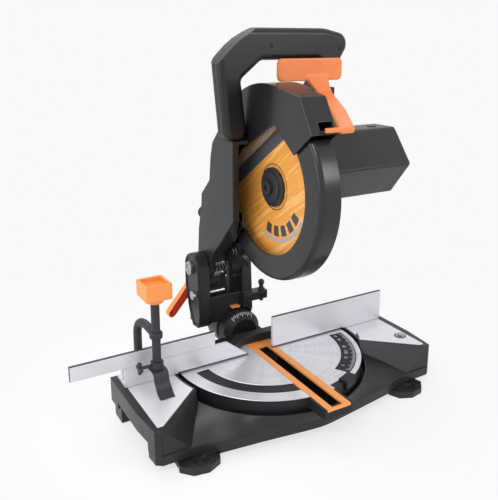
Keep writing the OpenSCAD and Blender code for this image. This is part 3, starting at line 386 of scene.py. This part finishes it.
def wire(path_mm, radius_mm, sides=4):
    """A round rod along a path of points in mm, as a bmesh with closed ends."""
    curve = bpy.data.curves.new("wire", "CURVE")
    curve.dimensions = "3D"
    curve.bevel_depth = radius_mm * MM
    curve.bevel_resolution = sides
    curve.use_fill_caps = True
    line = curve.splines.new("POLY")
    line.points.add(len(path_mm) - 1)
    for point, spot in zip(line.points, path_mm):
        point.co = (spot[0] * MM, spot[1] * MM, spot[2] * MM, 1)
    shape = bmesh.new()
    shape.from_mesh(plain_mesh(bpy.data.objects.new("wire_raw", curve)))
    bmesh.ops.remove_doubles(shape, verts=shape.verts, dist=1e-6)
    bmesh.ops.recalc_face_normals(shape, faces=shape.faces)
    return shape


post_x = -166
post_y = 19
post_r = 4.95
post = [(post_x, post_y, z) for z in (14, 60, 100)]
start = Vector((post_x, post_y, 104))
rise = Vector((post_x, post_y, 130))
fall = Vector((-161.5, 1, 124))
stop = Vector((-157.6, -14.5, 116))
bend_steps = 16
for step in range(bend_steps + 1):
    t = step / bend_steps
    rising = start * (1 - t) ** 3 + rise * (3 * t * (1 - t) ** 2)
    post.append(rising + fall * (3 * t * t * (1 - t)) + stop * t ** 3)
clamp_post = wire(post, post_r, sides=6)
over_shoe = Matrix.Translation((-157 * MM, -17 * MM, 0))
disc(clamp_post, 7.6, 112.2, 120.5, over_shoe, round_mm=2.2)
remade("clamp_arm", black_steel["mat"], clamp_post)
rounded("clamp_shoe", black_steel["mat"], 0.5)
rounded("shoe_screw", black_steel["mat"], 0.5)
rounded("clamp_screw", black_steel["mat"], 0.6)
# Moulded ABS is an even colour with a soft shine; the mould's fine grain is
# drawn at 0.8 mm, here and on the other mouldings, so that it shows.
orange_abs = finish("moulded orange ABS", "#f09a4e", "#e98b3d",
                    rough=0.38, grain_mm=0.8, relief_mm=0.03)
rounded("clamp_knob", orange_abs["mat"], 1.6, steps=4)

# Turning table: a cast aluminium disc with a nose, faced on a lathe and held
# by the pivot bolt. The top is bright; the rim beside the nose, the lower
# side, the rear block and the bevel hub stay painted black.
table_top = 50.0
face_r = 121.2
face_back = 34.0
black_rim_r = 112.7
black_rim_from = math.radians(-81)
black_rim_to = math.radians(-61.5)
# Facing leaves fine rings, 1.1 mm apart, under broad fans of painted highlight that turn
# about the pivot, here as counts to the metre and to the radian.
turning_rings = (900, 1.2, 1)
painted_highlight_scale = (1, 4, 1)
table_skin = finish("lathe-faced aluminium table, painted sides", "#232326", "#1b1b1e",
                    rough=0.44, grain_mm=0.9, relief_mm=0.04, shine=0.24)
tree = table_skin["tree"]
spot = add(tree, "ShaderNodeSeparateXYZ", {0: table_skin["place"]}).outputs
flat = add(tree, "ShaderNodeVectorMath", {0: table_skin["place"], 1: (1, 1, 0)},
           operation="MULTIPLY").outputs[0]
reach = add(tree, "ShaderNodeVectorMath", {0: flat}, operation="LENGTH").outputs["Value"]
turned = add(tree, "ShaderNodeMath", {0: spot["Y"], 1: spot["X"]}, operation="ARCTAN2").outputs[0]
polar = add(tree, "ShaderNodeCombineXYZ", {"X": reach, "Y": turned}).outputs[0]
rings = add(tree, "ShaderNodeMapping", {"Vector": polar, "Scale": turning_rings}).outputs[0]
rings = add(tree, "ShaderNodeTexNoise", {"Vector": rings, "Scale": 1.0, "Detail": 3.0}).outputs["Fac"]
# Painted highlight: broad fans about the pivot brighten the rings in the colour.
painted_highlights = add(tree, "ShaderNodeMapping", {"Vector": polar, "Scale": painted_highlight_scale}).outputs[0]
painted_highlights = add(tree, "ShaderNodeTexNoise", {"Vector": painted_highlights, "Scale": 1.0, "Detail": 1.0}).outputs["Fac"]
blend = add(tree, "ShaderNodeMath", {0: rings, 1: painted_highlights}, operation="MULTIPLY").outputs[0]
blend = add(tree, "ShaderNodeMapRange", {"Value": blend, "From Min": 0.12, "From Max": 0.4}).outputs["Result"]
silver = add(tree, "ShaderNodeMix", {0: blend, COLOUR_A: tint("#c9c9ce"), COLOUR_B: tint("#e6e6eb")},
             data_type="RGBA").outputs[COLOUR_OUT]
faced = inside(tree, ((spot["Z"], (table_top - 0.6) * MM, (table_top + 0.3) * MM),
                      (spot["Y"], None, face_back * MM), (reach, None, face_r * MM)))
black_rim = inside(tree, ((reach, black_rim_r * MM, None), (turned, black_rim_from, black_rim_to)))
bright = add(tree, "ShaderNodeMath", {0: faced, 1: black_rim}, operation="SUBTRACT",
             use_clamp=True).outputs[0]
machine(table_skin, bright, silver, rough=0.32, metallic=0.5)
rounded("turntable", table_skin["mat"], 0.8)
rounded("bevel_bolt", bright_steel["mat"], 0.5)

# Kerf plate: a strip with the blade slot, let into the table's nose so that
# the work is held close to the cut. Moulded ABS, a little paler than the
# knob; two sunk screws of the same colour hold it.
kerf_abs = finish("moulded orange kerf plate", "#f2a054", "#ec9346",
                  rough=0.4, grain_mm=0.8, relief_mm=0.03)
rounded("kerf_plate", kerf_abs["mat"], 0.4)
rounded("kerf_screws", kerf_abs["mat"], 0.2)

# Mitre scale: a black film let into the table, printed with white degree
# ticks and plain numbers. A nylon latch beside the nose holds the angle, and
# the bevel hub carries a second fan of ticks.


def moulded(node, material, cell_mm, passes):
    """A copy of a CAD node whose edges and inner corners are softened as in a moulding."""
    mesh = bpy.data.meshes.new(node)
    shape = merged(node)
    shape.to_mesh(mesh)
    shape.free()
    raw = bpy.data.objects.new(node + "_raw", mesh)
    cells = raw.modifiers.new("cells", "REMESH")
    cells.mode = "VOXEL"
    cells.voxel_size = cell_mm * MM
    ease = raw.modifiers.new("ease", "SMOOTH")
    ease.factor = 0.5
    ease.iterations = passes
    skin = plain_mesh(raw)
    skin.shade_smooth()
    dress(bpy.data.objects.new(node + "_finished", skin), node, material)


# The film is matt and a shade lighter than the groove; the print is thick
# enough to stand out as a flat, unshiny white.
scale_film = finish("matt black scale film", "#232327", "#1c1c1f",
                    rough=0.55, grain_mm=0.6, relief_mm=0.02, shine=0.24)
white_ink = finish("white screen print", "#e9e9ec", "#dfdfe3",
                   rough=0.5, grain_mm=0.6, relief_mm=0.01)
rounded("mitre_scale", scale_film["mat"], 0.2)
moulded("mitre_latch", black_nylon["mat"], cell_mm=0.5, passes=8)
tick_fan = bpy.data.node_groups.new("fan of ticks", "GeometryNodeTree")
for name, kind in (("Count", "Int"), ("Radius", "Float"), ("First", "Float"), ("Step", "Float"),
                   ("Long every", "Float"), ("Length", "Float"), ("Width", "Float"),
                   ("Thickness", "Float"), ("Ink", "Material")):
    tick_fan.interface.new_socket(name, in_out="INPUT", socket_type="NodeSocket" + kind)
tick_fan.interface.new_socket("Ticks", in_out="OUTPUT", socket_type="NodeSocketGeometry")
given = add(tick_fan, "NodeGroupInput").outputs
index = add(tick_fan, "GeometryNodeInputIndex").outputs[0]
turn = add(tick_fan, "ShaderNodeMath", {0: index, 1: given["Step"], 2: given["First"]},
           operation="MULTIPLY_ADD").outputs[0]
left_over = add(tick_fan, "ShaderNodeMath", {0: index, 1: given["Long every"]}, operation="MODULO").outputs[0]
longer = add(tick_fan, "ShaderNodeMath", {0: left_over, 1: 0.5}, operation="LESS_THAN").outputs[0]
stretch = add(tick_fan, "ShaderNodeMath", {0: longer, 1: 0.7, 2: 1.0}, operation="MULTIPLY_ADD").outputs[0]
drawn = add(tick_fan, "ShaderNodeMath", {0: stretch, 1: given["Length"]}, operation="MULTIPLY").outputs[0]
middle = add(tick_fan, "ShaderNodeMath", {0: drawn, 1: -0.5, 2: given["Radius"]},
             operation="MULTIPLY_ADD").outputs[0]
cosine = add(tick_fan, "ShaderNodeMath", {0: turn}, operation="COSINE").outputs[0]
sine = add(tick_fan, "ShaderNodeMath", {0: turn}, operation="SINE").outputs[0]
spoke = add(tick_fan, "ShaderNodeCombineXYZ", {"X": cosine, "Y": sine}).outputs[0]
where = add(tick_fan, "ShaderNodeVectorMath", {0: spoke, "Scale": middle}, operation="SCALE").outputs[0]
dots = add(tick_fan, "GeometryNodePoints", {"Count": given["Count"], "Position": where}).outputs[0]
block = add(tick_fan, "ShaderNodeCombineXYZ",
            {"X": given["Length"], "Y": given["Width"], "Z": given["Thickness"]}).outputs[0]
tick = add(tick_fan, "GeometryNodeMeshCube", {"Size": block}).outputs["Mesh"]
pointing = add(tick_fan, "ShaderNodeCombineXYZ", {"Z": turn}).outputs[0]
sized = add(tick_fan, "ShaderNodeCombineXYZ", {"X": stretch, "Y": 1.0, "Z": 1.0}).outputs[0]
set_out = add(tick_fan, "GeometryNodeInstanceOnPoints",
              {"Points": dots, "Instance": tick, "Rotation": pointing, "Scale": sized}).outputs[0]
solid = add(tick_fan, "GeometryNodeRealizeInstances", {0: set_out}).outputs[0]
inked = add(tick_fan, "GeometryNodeSetMaterial", {"Geometry": solid, "Material": given["Ink"]}).outputs[0]
add(tick_fan, "NodeGroupOutput", {"Ticks": inked})


def fan_of_ticks(count, radius_mm, first_deg, step_deg, long_every, length_mm, width_mm):
    """White ticks on a circle about Z, as a plain mesh."""
    values = {"Count": count, "Radius": radius_mm * MM, "First": math.radians(first_deg),
              "Step": math.radians(step_deg), "Long every": long_every, "Length": length_mm * MM,
              "Width": width_mm * MM, "Thickness": 0.12 * MM, "Ink": white_ink["mat"]}
    holder = bpy.data.objects.new("ticks_raw", bpy.data.meshes.new("ticks_raw"))
    grow = holder.modifiers.new("ticks", "NODES")
    grow.node_group = tick_fan
    for item in tick_fan.interface.items_tree:
        if item.in_out == "INPUT":
            grow[item.identifier] = values[item.name]
    return plain_mesh(holder)


def figure(words, size_mm, place):
    """A plain number as a thin mesh, moved to its place."""
    curve = bpy.data.curves.new("figure", "FONT")
    curve.body = words
    curve.size = size_mm * MM
    curve.align_x = "CENTER"
    curve.align_y = "CENTER"
    curve.extrude = 0.05 * MM
    mesh = plain_mesh(bpy.data.objects.new("figure_raw", curve))
    mesh.transform(place)
    return mesh


def printed(name, meshes, node):
    """One piece from several thin meshes of white print."""
    shape = bmesh.new()
    for mesh in meshes:
        shape.from_mesh(mesh)
    bmesh.ops.recalc_face_normals(shape, faces=shape.faces)
    mesh = bpy.data.meshes.new(name)
    shape.to_mesh(mesh)
    shape.free()
    dress(bpy.data.objects.new(name, mesh), node, white_ink["mat"], replaced=False)


figures_r = 102
figure_size = 5.4
ticks = fan_of_ticks(count=46, radius_mm=113.6, first_deg=-58, step_deg=1.15, long_every=5.0,
                     length_mm=3.6, width_mm=0.55)
ticks.transform(Matrix.Translation((0, 0, table_top * MM)))
print_work = [ticks]
for words, degrees in (("45", -8), ("40", -14), ("30", -25.5), ("22.5", -34), ("15", -42.5), ("5", -54)):
    turn = math.radians(degrees)
    spot = Vector((figures_r * math.cos(turn), figures_r * math.sin(turn), table_top)) * MM
    upright = Matrix.Rotation(turn + math.pi / 2, 4, "Z")
    print_work.append(figure(words, figure_size, Matrix.Translation(spot) @ upright))
printed("mitre_figures", print_work, "mitre_scale")
hub_front = 58
hub_front_r = 19
hub_z = 50
cone_slope = 8 / 9
hub_marks = fan_of_ticks(count=13, radius_mm=26.8, first_deg=55, step_deg=6, long_every=3.0,
                         length_mm=2.6, width_mm=0.6)
for vert in hub_marks.vertices:
    across, up, lift = vert.co
    back = hub_front * MM + (math.hypot(across, up) - hub_front_r * MM) * cone_slope
    vert.co = (across, back - lift - 0.08 * MM, hub_z * MM + up)
printed("bevel_marks", [hub_marks], "turntable")

# Bevel yoke: the die-cast arm that tilts on the table's hub and carries the
# head's hinge between two ears, the left one with a raised rim. A steel pin
# with nuts, a coiled return spring, a stop screw and the lock pin fit in it.
rounded("bevel_yoke", cast_paint["mat"], 1.4)
hinge_y = 100
hinge_z = 141
ear_r = 20
ear_middle = Vector((98.5, 105))
ear = []
for degrees in range(0, 181, 9):
    turn = math.radians(degrees)
    ear.append((hinge_y + ear_r * math.cos(turn), hinge_z + ear_r * math.sin(turn)))
ear += [(76, 75), (83, 59), (98, 58), (110, 79), (120, 111)]
rim_loops = []
for inset, x in ((0.6, -56.9), (0.6, -58.0), (1.2, -58.4), (3.4, -58.4), (4.2, -57.9), (4.2, -56.9)):
    loop = []
    for y, z in ear:
        out = Vector((y, z)) - ear_middle
        kept = ear_middle + out * (1 - inset / out.length)
        loop.append((x, kept.x, kept.y))
    rim_loops.append(loop)
trim("ear_rim", "bevel_yoke", cast_paint["mat"], loft(rim_loops, ring=True), sharp_deg=60)
rounded("hinge_pin", bright_steel["mat"], 0.6)
rounded("hinge_nuts", bright_steel["mat"], 0.5)
# Drawn wire under a film of oil is a dark, sharp metal.
spring_steel = finish("oiled spring steel", "#66676c", "#525358",
                      rough=0.28, grain_mm=0.8, relief_mm=0.02, metallic=1.0, cloud_mm=12)
coils = 5
coil_steps = 24
coil_r = 11
pitch = 4.4
wire_r = 1.45
spring_x = -30.5
spring = [(spring_x, hinge_y - coil_r, 162.5)]
for step in range(coils * coil_steps + 1):
    turn = math.pi + math.tau * step / coil_steps
    spring.append((spring_x + pitch * step / coil_steps, hinge_y + coil_r * math.cos(turn),
                   hinge_z + coil_r * math.sin(turn)))
spring.append((spring_x + pitch * coils, hinge_y - coil_r, 100.2))
remade("return_spring", spring_steel["mat"], wire(spring, wire_r, sides=3))
rounded("stop_screw", black_steel["mat"], 0.5)
rounded("bevel_pointer", orange_abs["mat"], 0.3)
rounded("lock_pin", bright_steel["mat"], 0.6)

# Bevel lever: the grip that clamps the tilt, on a boss behind the hub.
# Moulded orange ABS; the faces that look forward get a painted shade of
# deeper red.
orange_abs_with_painted_shade = finish("moulded orange ABS with painted shade", "#f3934f", "#ec8442",
                 rough=0.38, grain_mm=0.8, relief_mm=0.03)
tree = orange_abs_with_painted_shade["tree"]
normal = add(tree, "ShaderNodeTexCoord").outputs["Normal"]
facing = add(tree, "ShaderNodeSeparateXYZ", {0: normal}).outputs["Y"]
# Painted shade: the faces that look forward turn a deeper red.
lay_over(orange_abs_with_painted_shade, inside(tree, ((facing, None, -0.4),)), tint("#d9452c"))
rounded("bevel_lever", orange_abs_with_painted_shade["mat"], 1.2)

# Head arm and gear case: the two castings that carry the blade and the motor
# and swing on the hinge. Die-cast aluminium in the bed's satin black, with
# a nylon gland screwed in at the back.
rounded("head_arm", cast_paint["mat"], 1.2)
rounded("gear_case", cast_paint["mat"], 1.2)
rounded("cable_gland", black_nylon["mat"], 0.6)

# Guards: moulded black plastic over the blade. The upper one is fixed to the
# gear case, with a plate and a bolt on its left; the lower one swings round
# the arbor, and its well rounded left rim catches a line of light.
guard_abs = finish("moulded satin black guard", "#1f1f22", "#18181a",
                   rough=0.27, grain_mm=0.8, relief_mm=0.03, shine=0.45)
arbor_y = -16
arbor_z = 269
arbor = Vector((0, arbor_y, arbor_z)) * MM
rim_r = 110.2
rim_x = -12.8
rim_round = 6.2
plate_r = 113
plate_x = -17
plate_thick = 1.8
bolt_y = 55
bolt_z = 171


def on_left_rim(edge):
    """Edges of the lower guard's outer left rim."""
    return all((Vector((0, v.co.y, v.co.z)) - arbor).length > rim_r * MM and v.co.x < rim_x * MM
               for v in edge.verts)


rounded("upper_guard", guard_abs["mat"], 1.2)
plate_edge = []
for degrees in range(-70, -39, 3):
    turn = math.radians(degrees)
    plate_edge.append((arbor_y + plate_r * math.cos(turn), arbor_z + plate_r * math.sin(turn)))
plate_edge += [(80, 185), (84, 165), (80, 150), (62, 151), (40, 155), (20, 159.5)]
guard_plate = loft([[(x, y, z) for y, z in plate_edge] for x in (plate_x, plate_x + plate_thick)])
trim("guard_plate", "upper_guard", guard_abs["mat"], guard_plate)
guard_bolt = bmesh.new()
to_left = Matrix.Translation(Vector((plate_x, bolt_y, bolt_z)) * MM) @ Matrix.Rotation(-math.pi / 2, 4, "Y")
disc(guard_bolt, 7.6, -0.5, 1.0, to_left, round_mm=0.6)
disc(guard_bolt, 5.4, 1.0, 3.4, to_left, round_mm=0.8, sides=24)
disc(guard_bolt, 2.6, 3.4, 3.6, to_left, sides=6)
trim("guard_bolt", "upper_guard", spring_steel["mat"], guard_bolt)
rounded("lower_guard", guard_abs["mat"], 0.8, soft=on_left_rim, soft_mm=rim_round)

# Motor: a six-sided moulded housing with a vented end cap and two brush caps,
# screwed to the gear case. Inside are the wound iron, the fan, the gear and
# the bearings, which show only through the vents.
corner_round = 3.0
# Spark-eroded nylon is a dry, dark grey that brightens along the corners.
motor_abs = finish("fine grained black motor housing", "#2a2a2d", "#232326",
                   rough=0.36, grain_mm=0.9, relief_mm=0.05, shine=0.36)
# Varnished laminations and windings are a dull brown.
iron = finish("laminated iron and copper", "#8a7c6e", "#5d5148",
              rough=0.45, grain_mm=0.6, relief_mm=0.05, metallic=0.9, cloud_mm=8)


def along_motor(edge):
    """Edges that run along the motor."""
    run = edge.verts[1].co - edge.verts[0].co
    return len(edge.link_faces) == 2 and abs(run.x) > 0.9 * run.length and edge.calc_face_angle(0) > 0.4


def bare(nodes, material):
    """Show CAD nodes as they are, with their finish."""
    for node in nodes:
        mesh = frame["nodes"][node].data
        mesh.materials.clear()
        mesh.materials.append(material)


rounded("motor_housing", motor_abs["mat"], 0.3, steps=2,
        soft=along_motor, soft_mm=corner_round)
rounded("motor_end_cap", motor_abs["mat"], 0.3, steps=2, corner_deg=20,
        soft=along_motor, soft_mm=corner_round)
rounded("brush_caps", motor_abs["mat"], 0.6)
bare(("stator", "armature"), iron["mat"])
bare(("arbor_bearings", "motor_bearings", "driven_gear", "arbor"), bright_steel["mat"])
bare(("cooling_fan", "power_switch"), black_nylon["mat"])

# Handle: a moulded loop in two shells that meet on a seam, screwed together
# from the front. Glass-filled nylon with a fine spark-eroded grain, which
# gives the flat facets on the upper left a grey sheen.
grip_abs = finish("fine grained black grip", "#1e1e21", "#17171a",
                  rough=0.34, grain_mm=0.8, relief_mm=0.05, shine=0.4)
grip_front = 12.2
grip_back = 37.8
seam_y = 25
seam_half = 0.25
seam_round = 0.4
edge_round = 8.0
grip_corners = ((-49.5, 322, 12), (-60.5, 436, 16), (-32, 452.4, 22), (92, 452.4, 60),
                (125.7, 445, 14), (125.3, 428.5, 14), (60.4, 324, 0), (34.6, 324, 0), (78.2, 395, 12),
                (84, 415, 5), (0.4, 415, 12), (-27.2, 393.4, 8), (-18.3, 322, 12))
facets = (((-54.6, 415.8), (-0.76, 0.65)), ((-45, 426), (-0.69, 0.724)), ((-33, 436.4), (-0.6, 0.8)),
          ((-20, 444.6), (-0.48, 0.877)))


def eased(corners, steps=8):
    """The closed line through corners (across, up, radius in mm), with the corners eased to arcs."""
    line = []
    for i, (across, up, radius) in enumerate(corners):
        here = Vector((across, up))
        if radius == 0:
            line.append(here)
            continue
        back = (Vector(corners[i - 1][:2]) - here).normalized()
        ahead = (Vector(corners[(i + 1) % len(corners)][:2]) - here).normalized()
        half = back.angle(ahead) / 2
        middle = here + (back + ahead).normalized() * (radius / math.sin(half))
        first = here + back * (radius / math.tan(half)) - middle
        last = here + ahead * (radius / math.tan(half)) - middle
        for step in range(steps + 1):
            line.append(middle + first.lerp(last, step / steps).normalized() * radius)
    return line


def slab(line, near, far, near_round, far_round):
    """A slab across Y from a closed line in mm, with its two rims rounded."""
    shape = bmesh.new()
    rims = [[shape.verts.new((p.x * MM, y * MM, p.y * MM)) for p in line] for y in (near, far)]
    caps = [shape.faces.new(rims[0]), shape.faces.new(reversed(rims[1]))]
    for i in range(len(line)):
        shape.faces.new((rims[0][i], rims[1][i], rims[1][i - 1], rims[0][i - 1]))
    bmesh.ops.recalc_face_normals(shape, faces=shape.faces)
    for cap, width in zip(caps, (near_round, far_round)):
        bmesh.ops.bevel(shape, geom=list(cap.edges), offset=width * MM, offset_type="OFFSET",
                        segments=8 if width > 1 else 1, profile=0.5, affect="EDGES", clamp_overlap=False)
    return shape


def faceted(shape):
    """Cut the flat facets on the upper left corner of a shell and close the cuts."""
    bmesh.ops.triangulate(shape, faces=[f for f in shape.faces if len(f.verts) > 4])
    for (across, up), (out_x, out_z) in facets:
        parts = list(shape.verts) + list(shape.edges) + list(shape.faces)
        bmesh.ops.bisect_plane(shape, geom=parts, dist=1e-6, plane_co=(across * MM, 0, up * MM),
                               plane_no=(out_x, 0, out_z), clear_outer=True)
        bmesh.ops.holes_fill(shape, edges=[e for e in shape.edges if e.is_boundary])
    bmesh.ops.recalc_face_normals(shape, faces=shape.faces)
    return shape


grip_line = eased(grip_corners)
front_shell = faceted(slab(grip_line, grip_front, seam_y - seam_half, edge_round, seam_round))
boss_middle = Vector((91.3, 9, 376))
boss_size = Vector((5.4, 26, 12))
boss = bmesh.ops.create_cube(front_shell, size=1)["verts"]
for vert in boss:
    vert.co = (boss_middle + vert.co * boss_size) * MM
boss_edges = [e for e in front_shell.edges if set(e.verts) <= set(boss)]
bmesh.ops.bevel(front_shell, geom=boss_edges, offset=1.2 * MM, segments=3, profile=0.5, affect="EDGES")
remade("handle_front", grip_abs["mat"], front_shell)
rear_shell = faceted(slab(grip_line, seam_y + seam_half, grip_back, seam_round, edge_round))
remade("handle_rear", grip_abs["mat"], rear_shell)
rounded("handle_screws", black_nylon["mat"], 0.3)

# Trigger: one orange moulding with the release lever for the lower guard.
# Glossy ABS with soft moulded edges; it turns on a steel pin. The nylon
# button beside it locks the arbor.
trigger_abs = finish("glossy orange ABS trigger", "#ec8749", "#e67c3e",
                     rough=0.36, grain_mm=0.8, relief_mm=0.03)
moulded("trigger_lever", trigger_abs["mat"], cell_mm=0.8, passes=10)
bare(("trigger_pin",), bright_steel["mat"])
rounded("spindle_lock", black_nylon["mat"], 0.5)

# Blade: a laser-cut steel disc printed orange, with brazed carbide tips.
# The print is a plain pattern: two slanted bands, a broken ring of bars and
# a thin ring round the flange. The flanges and the bolt are blackened steel.
bars_from = -2.67
bars_to = -1.187
bar_step = math.radians(17)
bar_width = 0.2
across_bands = (0, 0.56, 0.83)
along_bands = (0, 0.83, -0.56)
# The ink lies in a thin satin coat, with paler streaks along the bands,
# 83 mm long and 5 mm wide, here as counts to the metre.
ink_streaks = (12, 200, 1)
blade_print = finish("orange printed steel blade", "#eaa145", "#e2953a",
                     rough=0.36, grain_mm=0.7, relief_mm=0.015)
tree = blade_print["tree"]
spot = add(tree, "ShaderNodeVectorMath", {0: blade_print["place"], 1: -arbor}, operation="ADD").outputs[0]
spot = add(tree, "ShaderNodeSeparateXYZ", {0: spot}).outputs
turned = add(tree, "ShaderNodeMath", {0: spot["Z"], 1: spot["Y"]}, operation="ARCTAN2").outputs[0]
flat = add(tree, "ShaderNodeCombineXYZ", {"Y": spot["Y"], "Z": spot["Z"]}).outputs[0]
reach = add(tree, "ShaderNodeVectorMath", {0: flat}, operation="LENGTH").outputs["Value"]
across = add(tree, "ShaderNodeVectorMath", {0: flat, 1: across_bands},
             operation="DOT_PRODUCT").outputs["Value"]
along = add(tree, "ShaderNodeVectorMath", {0: flat, 1: along_bands},
            operation="DOT_PRODUCT").outputs["Value"]
in_bar = add(tree, "ShaderNodeMath", {0: turned, 1: bar_step}, operation="FLOORED_MODULO").outputs[0]
drawn = add(tree, "ShaderNodeCombineXYZ", {"X": along, "Y": across}).outputs[0]
drawn = add(tree, "ShaderNodeMapping", {"Vector": drawn, "Scale": ink_streaks}).outputs[0]
streak = add(tree, "ShaderNodeTexNoise", {"Vector": drawn, "Scale": 1.0, "Detail": 3.0}).outputs["Fac"]
bars = (turned, bars_from, bars_to)
ink = blade_print["tone"]
for code, limits in (("#f0b568", ((streak, 0.55, 1.0),)),
                     ("#3b3b40", ((reach, 47 * MM, 60 * MM), bars, (in_bar, 0.0, bar_width))),
                     ("#a9a4a0", ((reach, 62.5 * MM, 67 * MM), bars)),
                     ("#55555b", ((across, 38 * MM, 55 * MM),)),
                     ("#bdbdc1", ((across, 57 * MM, 63 * MM),)),
                     ("#3b3b40", ((reach, 27 * MM, 28.2 * MM),)),
                     ("#d9dadd", ((reach, 96 * MM, 106 * MM),))):
    ink = add(tree, "ShaderNodeMix", {0: inside(tree, limits), COLOUR_A: ink, COLOUR_B: tint(code)},
              data_type="RGBA").outputs[COLOUR_OUT]
tree.links.new(ink, blade_print["shader"].inputs["Base Color"])
bare(("saw_blade",), blade_print["mat"])
# Ground carbide is a dense grey that glints at its edges.
carbide = finish("ground carbide", "#9a9ba0", "#7c7d82",
                 rough=0.3, grain_mm=0.5, relief_mm=0.02, metallic=1.0, cloud_mm=4)
bare(("blade_tips",), carbide["mat"])
rounded("inner_flange", black_steel["mat"], 0.5)
rounded("outer_flange", black_steel["mat"], 0.8)
rounded("arbor_bolt", black_steel["mat"], 0.5)

# Stage: a pale floor that fades into a white backdrop, soft studio lamps and
# the photo's camera. Near the saw the floor keeps its shadow.
backdrop = "#f9f9f9"
floor_half = 6


def background_rays(tree):
    """1 for the rays that show the background: straight, off a shiny face or through glass."""
    path = add(tree, "ShaderNodeLightPath").outputs
    seen = path["Is Camera Ray"]
    for kind in ("Is Glossy Ray", "Is Transmission Ray"):
        seen = add(tree, "ShaderNodeMath", {0: seen, 1: path[kind]}, operation="MAXIMUM").outputs[0]
    return seen


mesh = bpy.data.meshes.new("floor")
mesh.from_pydata([(x * floor_half, y * floor_half, 0) for x, y in ((-1, -1), (1, -1), (1, 1), (-1, 1))],
                 [], [(0, 1, 2, 3)])
floor = bpy.data.objects.new("floor", mesh)
bpy.context.scene.collection.objects.link(floor)
paper = finish("pale paper floor", "#fbfbfb", backdrop,
               rough=0.9, grain_mm=3.0, relief_mm=0.02, shine=0.0)
tree = paper["tree"]
far = add(tree, "ShaderNodeVectorMath", {0: paper["place"]}, operation="LENGTH").outputs["Value"]
far = add(tree, "ShaderNodeMapRange", {"Value": far, "From Min": 0.16, "From Max": 0.42, "To Min": 0.72},
          interpolation_type="SMOOTHSTEP").outputs["Result"]
fade = add(tree, "ShaderNodeMath", {0: far, 1: background_rays(tree)}, operation="MULTIPLY").outputs[0]
glow = add(tree, "ShaderNodeEmission", {"Color": tint(backdrop), "Strength": 1.0})
faded = add(tree, "ShaderNodeMixShader", {0: fade, 1: paper["shader"].outputs[0], 2: glow.outputs[0]})
output = next(n for n in tree.nodes if n.bl_idname == "ShaderNodeOutputMaterial")
tree.links.new(faded.outputs[0], output.inputs["Surface"])
mesh.materials.append(paper["mat"])
world = bpy.data.worlds.new("studio")
bpy.context.scene.world = world
world.use_nodes = True
tree = world.node_tree
tree.nodes.clear()
dim = add(tree, "ShaderNodeBackground", {"Color": tint("#ffffff"), "Strength": 0.7})
white = add(tree, "ShaderNodeBackground", {"Color": tint(backdrop), "Strength": 1.0})
both = add(tree, "ShaderNodeMixShader",
           {0: background_rays(tree), 1: dim.outputs[0], 2: white.outputs[0]})
add(tree, "ShaderNodeOutputWorld", {"Surface": both.outputs[0]})
lit_point = Vector((0, 0, 0.2))
for name, where, size, power in (("key lamp", (-1.3, -0.9, 1.7), 0.9, 14),
                                 ("front lamp", (0.9, -1.5, 0.9), 0.5, 7),
                                 ("top lamp", (-0.15, 0.75, 1.9), 1.0, 12),
                                 ("side lamp", (-1.6, 0.2, 0.5), 0.8, 5)):
    lamp = bpy.data.lights.new(name, "AREA")
    lamp.size = size
    lamp.energy = power
    held = bpy.data.objects.new(name, lamp)
    held.location = where
    held.rotation_euler = (lit_point - Vector(where)).to_track_quat("-Z", "Y").to_euler()
    bpy.context.scene.collection.objects.link(held)
lens = bpy.data.cameras.new("camera")
lens.lens = 45.9
lens.sensor_width = 36
lens.shift_y = -0.1
camera = bpy.data.objects.new("camera", lens)
camera.location = (-0.39665, -0.63965, 0.4386)
camera.rotation_euler = (math.radians(75.88), 0, math.radians(-30.08))
bpy.context.scene.collection.objects.link(camera)
bpy.context.scene.camera = camera
bpy.context.scene.view_settings.view_transform = "Standard"
